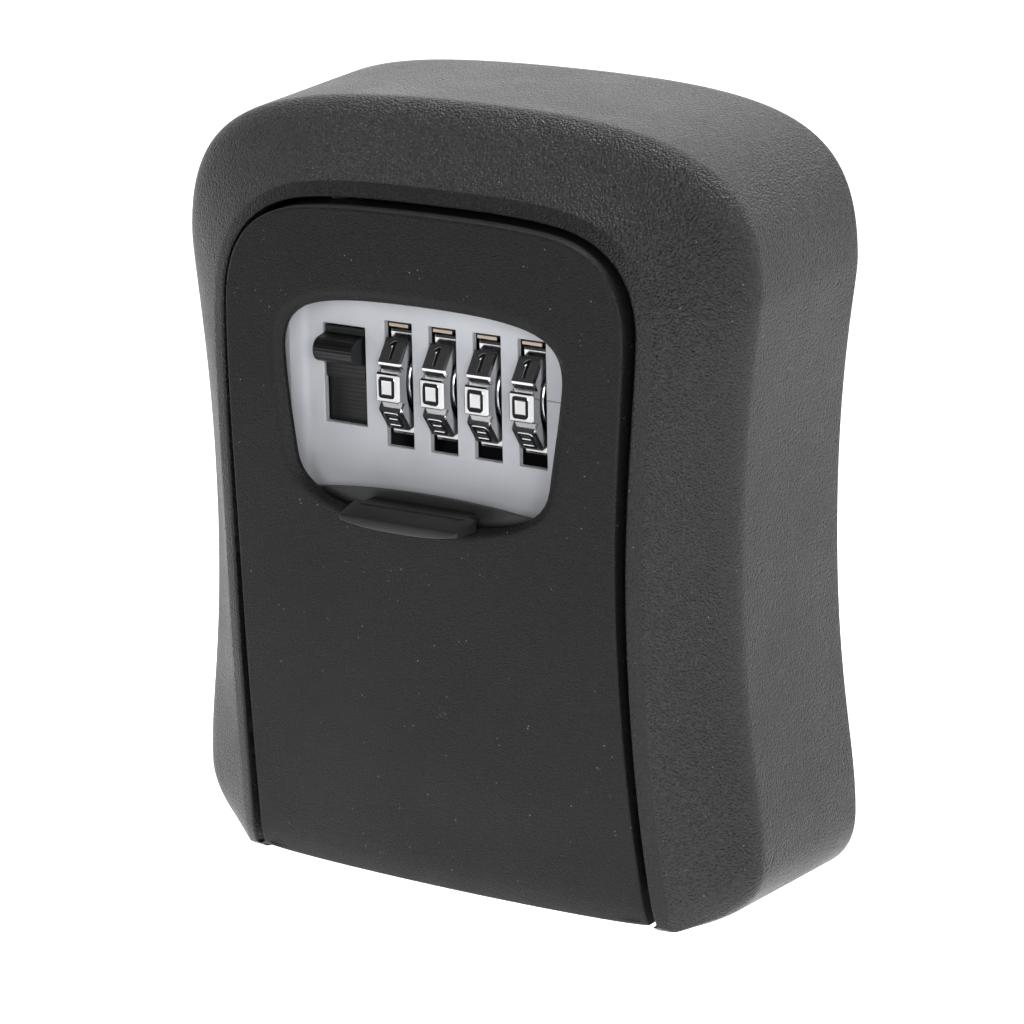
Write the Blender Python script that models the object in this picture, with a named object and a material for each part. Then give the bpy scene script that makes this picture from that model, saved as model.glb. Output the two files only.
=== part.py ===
"""Key lock box: a wall-mounted box whose front door carries a four-dial combination lock.

Axes: X to the right, Y back to the wall, Z up. The origin is the middle of the flat back face.
Every length below is in millimetres; MM turns it into metres when a mesh or a place is made.
The door's face is domed: it curves back towards the top and the bottom, and a little towards
the sides. The weather shutter is bent to the same curve and slides along it.
"""

import math

import bmesh
import bpy
from mathutils import Matrix, Vector

MM = 0.001
GAP = 0.3  # clearance between pieces that fit together

# Body
BODY_TOP, BODY_BOTTOM = 58.7, -58.7
BULGE, WAIST, FOOT = 47.9, 44.8, 48.0  # half widths near the top, at the waist and near the bottom
BACK_CHAMFER = 0.3
RIDGE_Y, RIDGE_ROUND = -28.5, 3.2  # where the side wall turns into the sloping front band
SIDE_DRAFT, RIDGE_SOFTNESS = 0.4, 1.5  # how much narrower and rounder the ridge is than the back
RIM_Y, RIM_Z, RIM_RADIUS = -39.75, -0.5, 330.0  # the front rim's most forward point, and its curve
CREASE_WIDTH, CREASE_DROP = 2.4, 1.65  # the crease: distance outside the rim, and behind it
WALL, BACK_WALL, LIP = 3.0, 2.5, 2.8
WALL_HOLE_RADIUS, WALL_HOLE_X, WALL_HOLE_Z = 2.3, 24.0, 36.0

# Door
FACE_Y, FACE_Z, FACE_RADIUS, CROWN_RADIUS = -41.4, 5.5, 350.0, 570.0
DOOR_TOP, DOOR_BOTTOM, DOOR_CORNER = 44.4, -56.3, -55.7
DOOR_SHOULDER, DOOR_WAIST, DOOR_FOOT = 33.0, 31.75, 33.3  # half widths
DOOR_GAP, TOP_GAP = 1.2, 0.9
RIM_TRIM, MOUTH_FLOOR_Y = 1.5, -30.0  # the uncut body dips into the door opening, to a flat floor
DOOR_INNER_Y, DOOR_SIDE_WALL, DOOR_BACK_Y, DOOR_ROUND = -39.35, 1.3, -32.5, 0.7
WINDOW_TOP, WINDOW_BOTTOM, WINDOW_HALF = 32.7, -0.5, 24.5
WINDOW_CHAMFER, WINDOW_CHAMFER_DEPTH = 1.2, 1.0
PIN_Y, PIN_Z, PIN_RADIUS, PIN_HALF = -31.0, -51.5, 1.25, 38.2
BARREL_RADIUS, BARREL_HALF = 4.2, 32.5
MOUTH_BACK_Y = -22.2  # how far back the door's opening is cut through the bottom wall
BOSS_OUTER_X = 39.3

# Weather shutter
SHUTTER_Y, SHUTTER_THICK, SHUTTER_HALF = -39.1, 0.7, 25.0
SHUTTER_TOP, SHUTTER_BOTTOM, SHUTTER_ARCH = 4.3, -32.0, 1.4
TAB_HALF, TAB_TOP, TAB_BOTTOM, TAB_REACH, TAB_DROP = 10.3, 2.9, 0.1, 4.7, 1.0
NECK_BOTTOM = 1.2  # the grip tab's neck stands just above the window's lower edge

# Dial plate: a shallow tub with a flange, behind the window
FLANGE_Y, FLANGE_THICK = -36.95, 1.0
PLATE_Y, PLATE_THICK = -34.55, 1.0
TUB_HALF, TUB_TOP, TUB_BOTTOM, TUB_FLARE, TUB_WALL = 23.0, 32.2, -1.0, 0.9, 0.9
FLANGE_HALF, FLANGE_TOP, FLANGE_BOTTOM = 25.8, 34.4, -7.2

# Dials
AXLE_Y, AXLE_Z, AXLE_RADIUS = -29.0, 18.6, 1.5
DIAL_COUNT, DIAL_X, DIAL_PITCH, DIAL_WIDTH = 4, -6.9, 7.4, 4.0
DIAL_RADIUS, DIAL_GROOVE_RADIUS, DIAL_BLOCK_HALF_DEG, DIGITS = 8.9, 7.9, 13.8, 10
DIAL_BORE, DIAL_FLANK_RADIUS, DIAL_FLANK_DEPTH = 3.0, 6.6, 0.5
SLOT_WIDTH, SLOT_TOP, SLOT_BOTTOM = 4.6, 27.5, 9.2
AXLE_LEFT, AXLE_RIGHT = -11.1, 27.8

# Clutch sleeves, which turn with the dials and slide along the axle
SLEEVE_RADIUS, SLEEVE_BORE, SLEEVE_LEFT = 2.6, 1.8, -3.0
DISC_RADIUS, DISC_START, DISC_THICK = 4.0, 2.3, 1.1
NOTCH_WIDTH, NOTCH_DEPTH = 1.6, 1.1
KEY_WIDTH, KEY_HEIGHT, KEY_LENGTH = 1.2, 0.9, 0.9
RESET_TRAVEL = 1.2
COLLAR_RADIUS, COLLAR_THICK, COLLAR_START = 3.8, 0.8, 5.4

# Open slider and latch
SLIDER_SLOT_LEFT, SLIDER_SLOT_RIGHT, SLIDER_SLOT_TOP, SLIDER_SLOT_BOTTOM = -19.75, -12.55, 26.0, 11.5
SLIDER_Y, SLIDER_THICK, SLIDER_TOP, SLIDER_BOTTOM = -33.25, 1.2, 32.7, 10.0
SLIDER_TRAVEL = 6.0
KNOB_Z, KNOB_HALF_HEIGHT, KNOB_FRONT = 22.6, 1.8, -37.7
ARM_HALF, ARM_BOTTOM, ARM_TOP = 2.2, 9.5, 31.5
LATCH_Y, LATCH_THICK = -19.7, 1.1
LATCH_LEFT, LATCH_RIGHT, LATCH_BOTTOM, LATCH_TOP = -20.3, -12.9, 11.0, 43.2
NOSE_TOP, NOSE_BOTTOM, NOSE_FRONT, NOSE_BACK = 44.2, 41.2, -32.0, -28.5
FENCE_RIGHT, FENCE_BOTTOM, FENCE_TOP, FINGER_TIP, FINGER_THICK = 19.2, 21.0, 25.0, -24.6, 0.7
PEG_RADIUS, PEG_ZS = 1.0, (15.0, 29.0)
SPRING_RADIUS, SPRING_WIRE, SPRING_TURNS = 2.2, 0.3, 7
SPRING_Y, SPRING_LOW, SPRING_HIGH = -26.5, -5.4, 8.8

# Lock case: the cover behind the mechanism
CASE_HALF, CASE_TOP, CASE_BOTTOM, CASE_WALL = 26.0, 34.8, -7.5, 1.3
CASE_FRONT, CASE_BACK = -35.6, -16.8
RIB_LEFT, RIB_RIGHT = -11.2, -10.2
EAR_HALF, EAR_FRONT, EAR_THICK = 29.7, -28.4, 3.0
SCREW_X, SCREW_ZS, BOSS_RADIUS = 27.9, (30.5, -3.0), 1.8
SCREW_SHANK, SCREW_HEAD, SCREW_HEAD_THICK, SCREW_TIP = 1.0, 1.9, 1.5, -34.7

# Reset lever
LEVER_LEFT, LEVER_RIGHT, LEVER_BOTTOM, LEVER_TOP = 10.0, 22.4, 4.5, 10.5
LEVER_KNOB_LEFT, LEVER_KNOB_RIGHT = 13.0, 16.0

# Detent comb
COMB_Y, COMB_THICK, COMB_TOP, COMB_SPINE = -33.2, 0.5, 32.9, 30.2
LEAF_WIDTH, LEAF_BOTTOM, TIP_FRONT, TIP_BOTTOM, TIP_TOP = 3.2, 27.05, -34.3, 26.75, 27.2

CURVE_STEPS = 8  # points on each stretch of an outline

BLACK = (0.020, 0.020, 0.022)
DOOR_BLACK = (0.016, 0.016, 0.017)
TRIM_BLACK = (0.010, 0.010, 0.011)
PALE_GREY = (0.46, 0.48, 0.52)
STEEL = (0.55, 0.55, 0.56)
CHROME = (0.75, 0.75, 0.76)
BRONZE = (0.45, 0.33, 0.24)
ZINC = (0.40, 0.40, 0.42)


def clear_scene():
    for item in list(bpy.data.objects):
        bpy.data.objects.remove(item, do_unlink=True)
    for group in list(bpy.data.collections):
        bpy.data.collections.remove(group)


def new_collection(name, hidden=False):
    group = bpy.data.collections.new(name)
    bpy.context.scene.collection.children.link(group)
    group.hide_render = hidden
    return group


def make_material(name, colour, roughness, metallic):
    material = bpy.data.materials.new(name)
    material.use_nodes = True
    shader = material.node_tree.nodes["Principled BSDF"]
    shader.inputs["Base Color"].default_value = (*colour, 1.0)
    shader.inputs["Roughness"].default_value = roughness
    shader.inputs["Metallic"].default_value = metallic
    return material


def add_object(name, data, group, parent=None, material=None):
    item = bpy.data.objects.new(name, data)
    group.objects.link(item)
    item.parent = parent
    if material:
        data.materials.append(material)
    return item


def add_empty(name, place, parent=None):
    """An empty at a place in millimetres, in its parent's frame."""
    empty = bpy.data.objects.new(name, None)
    PARTS.objects.link(empty)
    empty.parent = parent
    empty.location = Vector(place) * MM
    return empty


def mesh_from(bm, name):
    """Turn a bmesh in millimetres into a mesh in metres."""
    bmesh.ops.recalc_face_normals(bm, faces=bm.faces)
    bmesh.ops.scale(bm, vec=(MM, MM, MM), verts=bm.verts)
    mesh = bpy.data.meshes.new(name)
    bm.to_mesh(mesh)
    bm.free()
    return mesh


def box_mesh(name, low, high):
    bm = bmesh.new()
    bmesh.ops.create_cube(bm, size=1.0)
    size = [b - a for a, b in zip(low, high)]
    middle = [(a + b) / 2 for a, b in zip(low, high)]
    bmesh.ops.scale(bm, vec=size, verts=bm.verts)
    bmesh.ops.translate(bm, vec=middle, verts=bm.verts)
    return mesh_from(bm, name)


def rod_mesh(name, radius, start, end, sides=24):
    """A round rod between two points."""
    start, end = Vector(start), Vector(end)
    along = end - start
    turn = Vector((0, 0, 1)).rotation_difference(along.normalized()).to_matrix().to_4x4()
    bm = bmesh.new()
    bmesh.ops.create_cone(
        bm,
        cap_ends=True,
        segments=sides,
        radius1=radius,
        radius2=radius,
        depth=along.length,
        matrix=Matrix.Translation((start + end) / 2) @ turn,
    )
    return mesh_from(bm, name)


def loft_mesh(name, rings):
    """A closed skin through rings that have the same number of points."""
    bm = bmesh.new()
    rows = [[bm.verts.new(point) for point in ring] for ring in rings]
    for near, far in zip(rows, rows[1:]):
        for i in range(len(near)):
            j = (i + 1) % len(near)
            bm.faces.new((near[i], near[j], far[j], far[i]))
    bm.faces.new(rows[0][::-1])
    bm.faces.new(rows[-1])
    return mesh_from(bm, name)


def ring_at(outline, y):
    """Outline points (x, z) placed at a depth, which may be a function of x and z."""
    return [(x, y(x, z) if callable(y) else y, z) for x, z in outline]


def shrunk(outline, share):
    """The outline drawn in towards its middle."""
    heights = [z for x, z in outline]
    middle = (max(heights) + min(heights)) / 2
    return [(x * share, middle + (z - middle) * share) for x, z in outline]


def face_depth(behind=0.0):
    """The depth of the domed face, or of the surface at a distance behind it."""

    def depth(x, z):
        return FACE_Y + behind + x * x / (2 * CROWN_RADIUS) + (z - FACE_Z) ** 2 / (2 * FACE_RADIUS)

    return depth


def arc_depth(front_y):
    """The depth of the arc through front_y that shares its centre with the face's upright curve."""
    radius = FACE_Y + FACE_RADIUS - front_y

    def depth(x, z):
        return FACE_Y + FACE_RADIUS - math.sqrt(radius**2 - (z - FACE_Z) ** 2)

    return depth


def rim_depth(behind=0.0):
    def depth(x, z):
        return RIM_Y + behind + (z - RIM_Z) ** 2 / (2 * RIM_RADIUS)

    return depth


def domed_rings(outline, depth):
    """Nested rings that carry a curved face out to its outline."""
    return [ring_at(shrunk(outline, share), depth) for share in (0.08, 0.3, 0.52, 0.74, 0.92, 1.0)]


def prism_mesh(name, outline, front, back):
    return loft_mesh(name, [ring_at(outline, front), ring_at(outline, back)])


def disc_prism_mesh(name, outline, left, right):
    """A prism along X from an outline of (y, z) points."""
    rings = [[(x, y, z) for y, z in outline] for x in (left, right)]
    return loft_mesh(name, rings)


def boolean(target, other, operation):
    modifier = target.modifiers.new(other.name, "BOOLEAN")
    modifier.operation = operation
    modifier.object = other
    modifier.solver = "EXACT"


def tool(mesh, parent):
    """A hidden shape that a Boolean uses."""
    item = add_object(mesh.name, mesh, CUTTERS, parent)
    item.display_type = "WIRE"
    item.hide_render = True
    return item


def cut(target, mesh):
    boolean(target, tool(mesh, target.parent), "DIFFERENCE")


def join(target, mesh):
    boolean(target, tool(mesh, target.parent), "UNION")


def bezier(start, start_handle, end_handle, end):
    """Points along a cubic curve, without its last one."""
    points = []
    for step in range(CURVE_STEPS):
        t = step / CURVE_STEPS
        s = 1 - t
        weights = (s**3, 3 * s * s * t, 3 * s * t * t, t**3)
        corners = (start, start_handle, end_handle, end)
        points.append(tuple(sum(w * c[k] for w, c in zip(weights, corners)) for k in (0, 1)))
    return points


def part_way(start, end, share):
    return tuple(a + (b - a) * share for a, b in zip(start, end))


def split(stretch, share):
    """One cubic curve as two, so that outlines of different shapes get matching points."""
    first, second, third, last = stretch
    start, end = part_way(first, second, share), part_way(third, last, share)
    middle = part_way(second, third, share)
    left, right = part_way(start, middle, share), part_way(middle, end, share)
    meeting = part_way(left, right, share)
    return [(first, start, left, meeting), (meeting, right, end, last)]


def symmetric(stretches):
    """A closed outline from the right half's stretches, top middle to bottom middle."""
    right = [point for stretch in stretches for point in bezier(*stretch)]
    right.append(stretches[-1][-1])
    left = [(-x, z) for x, z in right[1:-1]]
    return right + left[::-1]


def body_outline(inset=0.0, soft=0.0):
    """The body's outline: arched top, waisted sides and a shallow belly; soft rounds its corners."""
    top, bottom = BODY_TOP - inset, BODY_BOTTOM + inset
    bulge, waist, foot = BULGE - inset, WAIST - inset, FOOT - inset
    low, near = (foot, -53.2 + soft), (foot - 4.2 - soft / 2, bottom + 1.6 + soft / 2)
    return symmetric(
        [
            *split(((0, top), (36.2 - soft, top), (bulge, top - 3.2 - soft), (bulge, 35.8)), 0.42),
            ((bulge, 35.8), (bulge, 32), (waist, 20.3), (waist, -3.7)),
            ((waist, -3.7), (waist, -27.7), (foot, -36), (foot, -46.5)),
            *split(((foot, -46.5), low, near, (foot - 14, bottom + 0.8)), 0.5),
            ((foot - 14, bottom + 0.8), (foot - 22, bottom), (12, bottom), (0, bottom)),
        ]
    )


def door_outline(grow=0.0, grow_top=0.0, drop=0.0):
    """The door's outline: arched top, round shoulders, waisted sides and a bottom edge."""
    top, corner, bottom = DOOR_TOP + grow_top, DOOR_CORNER - drop, DOOR_BOTTOM - drop
    shoulder, waist, foot = DOOR_SHOULDER + grow, DOOR_WAIST + grow, DOOR_FOOT + grow
    return symmetric(
        [
            ((0, top), (10, top), (15, top - 0.2), (20, top - 0.8)),
            ((20, top - 0.8), (28, top - 1.7), (shoulder, top - 5.9), (shoulder, 29.5)),
            ((shoulder, 29.5), (shoulder, 20), (waist, 6), (waist, -9)),
            *split(((waist, -9), (waist, -25), (foot - 1.0, -42), (foot, corner + 0.5)), 0.75),
            *split(((foot, corner + 0.5), (foot, corner - 0.1), (20, bottom), (0, bottom)), 0.1),
        ]
    )


def window_outline(grow=0.0):
    """The door's window: arched top, sides closing in downwards, and a bulging bottom."""
    half, top, bottom = WINDOW_HALF + grow, WINDOW_TOP + grow, WINDOW_BOTTOM - grow
    return symmetric(
        [
            ((0, top), (19, top), (half, top - 1.9), (half, 23.0)),
            ((half, 23.0), (half - 0.5, 17), (half - 1.4, 12.5), (half - 2.0, 8)),
            ((half - 2.0, 8), (half - 2.8, 3), (15, bottom), (0, bottom)),
        ]
    )


def rounded_rectangle(half, bottom, top, radius):
    """A rectangle with round corners, in the x-z plane."""
    points = []
    corners = ((1, top, 0), (-1, top, 90), (-1, bottom, 180), (1, bottom, 270))
    for side, edge, begin in corners:
        inward = -1 if edge == top else 1
        centre = (side * (half - radius), edge + inward * radius)
        for step in range(CURVE_STEPS + 1):
            angle = math.radians(begin + 90 * step / CURVE_STEPS)
            points.append((centre[0] + radius * math.cos(angle), centre[1] + radius * math.sin(angle)))
    return points


def between(first, second, share):
    """The ring that lies a share of the way from the first ring to the second."""
    return [part_way(p, q, share) for p, q in zip(first, second)]


def bend(first, corner, last, steps=3):
    """Rings that round off a corner between the first and last rings."""
    rings = []
    for step in range(1, steps + 1):
        share = step / (steps + 1)
        rings.append(between(between(first, corner, share), between(corner, last, share), share))
    return [first, *rings, last]


def body_skin():
    """The body's outer skin, from the back face round to the sloping front band and its rim."""
    start = ring_at(body_outline(0.0), -BACK_CHAMFER)
    ridge = ring_at(body_outline(SIDE_DRAFT, RIDGE_SOFTNESS), RIDGE_Y)
    rim = ring_at(door_outline(DOOR_GAP, TOP_GAP), rim_depth())
    inner = ring_at(door_outline(DOOR_GAP - RIM_TRIM, TOP_GAP - RIM_TRIM), MOUTH_FLOOR_Y)
    crease_outline = door_outline(DOOR_GAP + CREASE_WIDTH, TOP_GAP + CREASE_WIDTH, 0.8)
    crease = ring_at(crease_outline, rim_depth(CREASE_DROP))
    side_end = between(ridge, start, RIDGE_ROUND / -RIDGE_Y)
    band_start = between(ridge, crease, 0.3)
    band_end = between(crease, ridge, 0.06)
    facet_start = between(crease, rim, 0.25)
    rings = [ring_at(body_outline(BACK_CHAMFER), 0.0), start]
    rings += bend(side_end, ridge, band_start)
    rings += bend(band_end, crease, facet_start, 1)
    rings += [rim, inner]
    return loft_mesh("body_shell", rings)


def build_body():
    shell = add_object("body_shell", body_skin(), PARTS, None, MATERIALS["cast_shell"])
    hollow = [
        ring_at(body_outline(WALL), -BACK_WALL),
        ring_at(body_outline(WALL + 0.3, RIDGE_SOFTNESS), RIDGE_Y + 1.5),
        ring_at(door_outline(DOOR_GAP + 1.6, TOP_GAP + 1.6, -WALL), rim_depth(LIP)),
    ]
    inside = tool(loft_mesh("body_hollow", hollow), None)
    for side in (-1, 1):
        low = (DOOR_FOOT + 0.5, PIN_Y - 6.0, BODY_BOTTOM)
        high = (BOSS_OUTER_X, PIN_Y + 2.8, PIN_Z + 2.8)
        cut(inside, box_mesh(f"hinge_boss_{side}", *mirrored(low, high, side)))
    boolean(shell, inside, "DIFFERENCE")
    mouth = door_outline(DOOR_GAP, TOP_GAP, 20.0)
    cut(shell, prism_mesh("door_mouth", mouth, -60.0, MOUTH_BACK_Y))
    start, end = (-PIN_HALF - GAP, PIN_Y, PIN_Z), (PIN_HALF + GAP, PIN_Y, PIN_Z)
    cut(shell, rod_mesh("hinge_pin_bore", PIN_RADIUS + GAP, start, end))
    for column in (-1, 1):
        for row in (-1, 1):
            x, z = column * WALL_HOLE_X, row * WALL_HOLE_Z
            name = f"wall_screw_hole_{column}_{row}"
            cut(shell, rod_mesh(name, WALL_HOLE_RADIUS, (x, -BACK_WALL - 1, z), (x, 1, z), 20))


def mirrored(low, high, side):
    """A box's corners, on the left when side is -1."""
    if side > 0:
        return low, high
    return (-high[0], *low[1:]), (-low[0], *high[1:])


def build_hinge_pin():
    start, end = (-PIN_HALF, PIN_Y, PIN_Z), (PIN_HALF, PIN_Y, PIN_Z)
    mesh = rod_mesh("hinge_pin", PIN_RADIUS, start, end)
    add_object("hinge_pin", mesh, PARTS, None, MATERIALS["steel"])


def from_pin(mesh):
    """Move a mesh so that its origin is on the hinge pin."""
    mesh.transform(Matrix.Translation((0, -PIN_Y * MM, -PIN_Z * MM)))
    return mesh


def door_part(name, mesh, material):
    return add_object(name, from_pin(mesh), PARTS, DOOR, MATERIALS[material])


def door_skin():
    """The door's outer block: a domed face with a rounded edge, and a flat back."""
    slack = DOOR_ROUND * (1 - math.sqrt(0.5))
    rings = domed_rings(door_outline(-DOOR_ROUND, -DOOR_ROUND, -DOOR_ROUND), face_depth())
    rings.append(ring_at(door_outline(-slack, -slack, -slack), face_depth(slack)))
    rings.append(ring_at(door_outline(), face_depth(DOOR_ROUND)))
    rings.append(ring_at(door_outline(), DOOR_BACK_Y))
    return loft_mesh("door_panel", rings)


def build_door():
    door = door_part("door_panel", door_skin(), "door_cast")
    inner = door_outline(-DOOR_SIDE_WALL, -DOOR_SIDE_WALL, -DOOR_SIDE_WALL)
    hollow = domed_rings(inner, arc_depth(DOOR_INNER_Y))
    hollow.append(ring_at(inner, DOOR_BACK_Y + 4))
    cut(door, from_pin(loft_mesh("door_hollow", hollow)))
    start, end = (-BARREL_HALF, PIN_Y, PIN_Z), (BARREL_HALF, PIN_Y, PIN_Z)
    join(door, from_pin(rod_mesh("hinge_barrel", BARREL_RADIUS, start, end)))
    low = (-BARREL_HALF + 0.6, PIN_Y - BARREL_RADIUS + 0.3, PIN_Z - BARREL_RADIUS + 0.5)
    high = (BARREL_HALF - 0.6, PIN_Y, PIN_Z + 1.0)
    join(door, from_pin(box_mesh("barrel_web", low, high)))
    for name, x, z in screw_places():
        start, end = (x, arc_depth(DOOR_INNER_Y)(x, z) - 0.6, z), (x, EAR_FRONT - GAP, z)
        join(door, from_pin(rod_mesh(f"boss_{name}", BOSS_RADIUS, start, end, 20)))
        start, end = (x, SCREW_TIP - 0.5, z), (x, EAR_FRONT + 2, z)
        cut(door, from_pin(rod_mesh(f"pilot_{name}", SCREW_SHANK + GAP, start, end, 16)))
    slope = WINDOW_CHAMFER / WINDOW_CHAMFER_DEPTH
    window = [
        ring_at(window_outline(slope), face_depth(-1.0)),
        ring_at(window_outline(-WINDOW_CHAMFER), face_depth(WINDOW_CHAMFER_DEPTH)),
        ring_at(window_outline(-WINDOW_CHAMFER), face_depth(4.0)),
    ]
    cut(door, from_pin(loft_mesh("window", window)))
    start, end = (-BARREL_HALF - 2, PIN_Y, PIN_Z), (BARREL_HALF + 2, PIN_Y, PIN_Z)
    cut(door, from_pin(rod_mesh("barrel_bore", PIN_RADIUS + GAP, start, end)))


def screw_places():
    """The case screws' names and places in the door's frame."""
    places = []
    for x in (-SCREW_X, SCREW_X):
        for z in SCREW_ZS:
            places.append((len(places) + 1, x, z))
    return places


def build_shutter():
    """A plate bent to the face's curve, with a grip tab that stands out through the window."""
    back_y = SHUTTER_Y + SHUTTER_THICK
    heights = [
        SHUTTER_BOTTOM + (SHUTTER_TOP - SHUTTER_BOTTOM) * step / CURVE_STEPS
        for step in range(CURVE_STEPS + 1)
    ]
    profile = [(arc_depth(SHUTTER_Y)(0, z), z) for z in heights]
    profile += [(arc_depth(back_y)(0, z), z) for z in reversed(heights)]
    plate = disc_prism_mesh("weather_shutter", profile, -SHUTTER_HALF, SHUTTER_HALF)
    shutter = door_part("weather_shutter", plate, "shutter_plastic")
    edge, above = SHUTTER_TOP - SHUTTER_ARCH, SHUTTER_TOP + 4
    arch = bezier((0, SHUTTER_TOP), (9, SHUTTER_TOP), (17, edge + 0.5), (SHUTTER_HALF + 1, edge - 0.9))
    outline = [*arch, (SHUTTER_HALF + 1, edge - 0.9), (SHUTTER_HALF + 1, above)]
    outline += [(-x, z) for x, z in reversed(outline[1:])]
    cut(shutter, from_pin(prism_mesh("shutter_arch", outline, SHUTTER_Y - 3, back_y + 3)))
    neck = rounded_rectangle(TAB_HALF - 1.2, NECK_BOTTOM, TAB_TOP, 0.7)
    join(shutter, from_pin(prism_mesh("tab_neck", neck, FACE_Y - 1.0, back_y - 0.2)))
    near = rounded_rectangle(TAB_HALF, TAB_BOTTOM, TAB_TOP, 0.9)
    far = rounded_rectangle(TAB_HALF - 0.5, TAB_BOTTOM + 0.4, TAB_TOP - TAB_DROP, 0.6)
    rings = [ring_at(near, FACE_Y - GAP), ring_at(far, FACE_Y - TAB_REACH)]
    join(shutter, from_pin(loft_mesh("grip_tab", rings)))


def build_dial_plate():
    flange = rounded_rectangle(FLANGE_HALF, FLANGE_BOTTOM, FLANGE_TOP, 4.0)
    plate = door_part(
        "dial_plate",
        prism_mesh("dial_plate", flange, FLANGE_Y, FLANGE_Y + FLANGE_THICK),
        "plate_plastic",
    )
    tub = rounded_rectangle(TUB_HALF + TUB_WALL, TUB_BOTTOM - TUB_WALL, TUB_TOP + TUB_WALL, 7.0)
    back = PLATE_Y + PLATE_THICK
    join(plate, from_pin(prism_mesh("tub_block", tub, FLANGE_Y + 0.5, back)))
    mouth = rounded_rectangle(
        TUB_HALF + TUB_FLARE, TUB_BOTTOM - TUB_FLARE, TUB_TOP + TUB_FLARE, 7.0
    )
    floor = rounded_rectangle(TUB_HALF, TUB_BOTTOM, TUB_TOP, 6.0)
    hollow = [ring_at(mouth, FLANGE_Y - 0.5), ring_at(floor, PLATE_Y)]
    cut(plate, from_pin(loft_mesh("tub_hollow", hollow)))
    for i in range(DIAL_COUNT):
        middle = DIAL_X + i * DIAL_PITCH
        low = (middle - SLOT_WIDTH / 2, PLATE_Y - 1, SLOT_BOTTOM)
        high = (middle + SLOT_WIDTH / 2, back + 1, SLOT_TOP)
        cut(plate, from_pin(box_mesh(f"dial_slot_{i + 1}", low, high)))
    low = (SLIDER_SLOT_LEFT, PLATE_Y - 1, SLIDER_SLOT_BOTTOM)
    high = (SLIDER_SLOT_RIGHT, back + 1, SLIDER_SLOT_TOP)
    cut(plate, from_pin(box_mesh("slider_slot", low, high)))


def build_case():
    block = box_mesh(
        "lock_case", (-CASE_HALF, CASE_FRONT, CASE_BOTTOM), (CASE_HALF, CASE_BACK, CASE_TOP)
    )
    case = door_part("lock_case", block, "case_plastic")
    for name, x, z in screw_places():
        side = math.copysign(1, x)
        low = (min(side * (CASE_HALF - 0.5), side * EAR_HALF), EAR_FRONT, z - 3.0)
        high = (max(side * (CASE_HALF - 0.5), side * EAR_HALF), EAR_FRONT + EAR_THICK, z + 3.0)
        join(case, from_pin(box_mesh(f"ear_{name}", low, high)))
    inner = CASE_HALF - CASE_WALL
    low = (-inner, CASE_FRONT - 1, CASE_BOTTOM + CASE_WALL)
    high = (inner, CASE_BACK - CASE_WALL, CASE_TOP - CASE_WALL)
    cut(case, from_pin(box_mesh("case_hollow", low, high)))
    rib = box_mesh(
        "axle_rib",
        (RIB_LEFT, AXLE_Y - 3.0, AXLE_Z - 3.5),
        (RIB_RIGHT, LATCH_Y - GAP, AXLE_Z + 3.5),
    )
    foot = box_mesh(
        "axle_rib_foot",
        (RIB_LEFT, AXLE_Y - 3.0, CASE_BOTTOM + CASE_WALL / 2),
        (RIB_RIGHT, LATCH_Y - GAP, AXLE_Z - 2.0),
    )
    join(case, from_pin(rib))
    join(case, from_pin(foot))
    for name, x, z in screw_places():
        start, end = (x, EAR_FRONT - 1, z), (x, EAR_FRONT + EAR_THICK + 1, z)
        cut(case, from_pin(rod_mesh(f"ear_hole_{name}", SCREW_SHANK + GAP, start, end, 16)))
    bore = rod_mesh(
        "axle_bore", AXLE_RADIUS + GAP, (RIB_LEFT - 1, AXLE_Y, AXLE_Z), (CASE_HALF + 1, AXLE_Y, AXLE_Z)
    )
    cut(case, from_pin(bore))
    low = (LATCH_LEFT - GAP, LATCH_Y - GAP, CASE_TOP - 2.5)
    high = (LATCH_RIGHT + GAP, LATCH_Y + LATCH_THICK + GAP, CASE_TOP + 1)
    cut(case, from_pin(box_mesh("latch_way", low, high)))
    low = (LEVER_KNOB_LEFT - GAP, CASE_BACK - 3, LEVER_BOTTOM + 1.2)
    high = (LEVER_KNOB_RIGHT + RESET_TRAVEL + GAP, CASE_BACK + 1, LEVER_TOP - 1.2)
    cut(case, from_pin(box_mesh("lever_way", low, high)))


def build_screws():
    seat = EAR_FRONT + EAR_THICK + GAP
    for name, x, z in screw_places():
        shank = rod_mesh(f"case_screw_{name}", SCREW_SHANK, (x, SCREW_TIP, z), (x, seat + 0.4, z), 14)
        screw = door_part(f"case_screw_{name}", shank, "steel")
        head = rod_mesh(f"head_{name}", SCREW_HEAD, (x, seat, z), (x, seat + SCREW_HEAD_THICK, z), 20)
        join(screw, from_pin(head))
        for slot, (w, h) in enumerate(((1.3, 0.22), (0.22, 1.3))):
            low = (x - w, seat + 0.8, z - h)
            high = (x + w, seat + SCREW_HEAD_THICK + 1, z + h)
            cut(screw, from_pin(box_mesh(f"drive_{name}_{slot}", low, high)))


def build_axle():
    start, end = (AXLE_LEFT, AXLE_Y, AXLE_Z), (AXLE_RIGHT, AXLE_Y, AXLE_Z)
    door_part("dial_axle", rod_mesh("dial_axle", AXLE_RADIUS, start, end, 20), "steel")
    left = CASE_HALF + GAP
    points = []
    for radius, turn in ((3.2, 1), (AXLE_RADIUS + GAP, -1)):
        for step in range(15):
            angle = math.radians(-145 + 290 * (step / 14))
            angle *= turn
            points.append((AXLE_Y + radius * math.cos(angle), AXLE_Z + radius * math.sin(angle)))
    door_part("axle_clip", disc_prism_mesh("axle_clip", points, left, left + 0.6), "steel")


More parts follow.
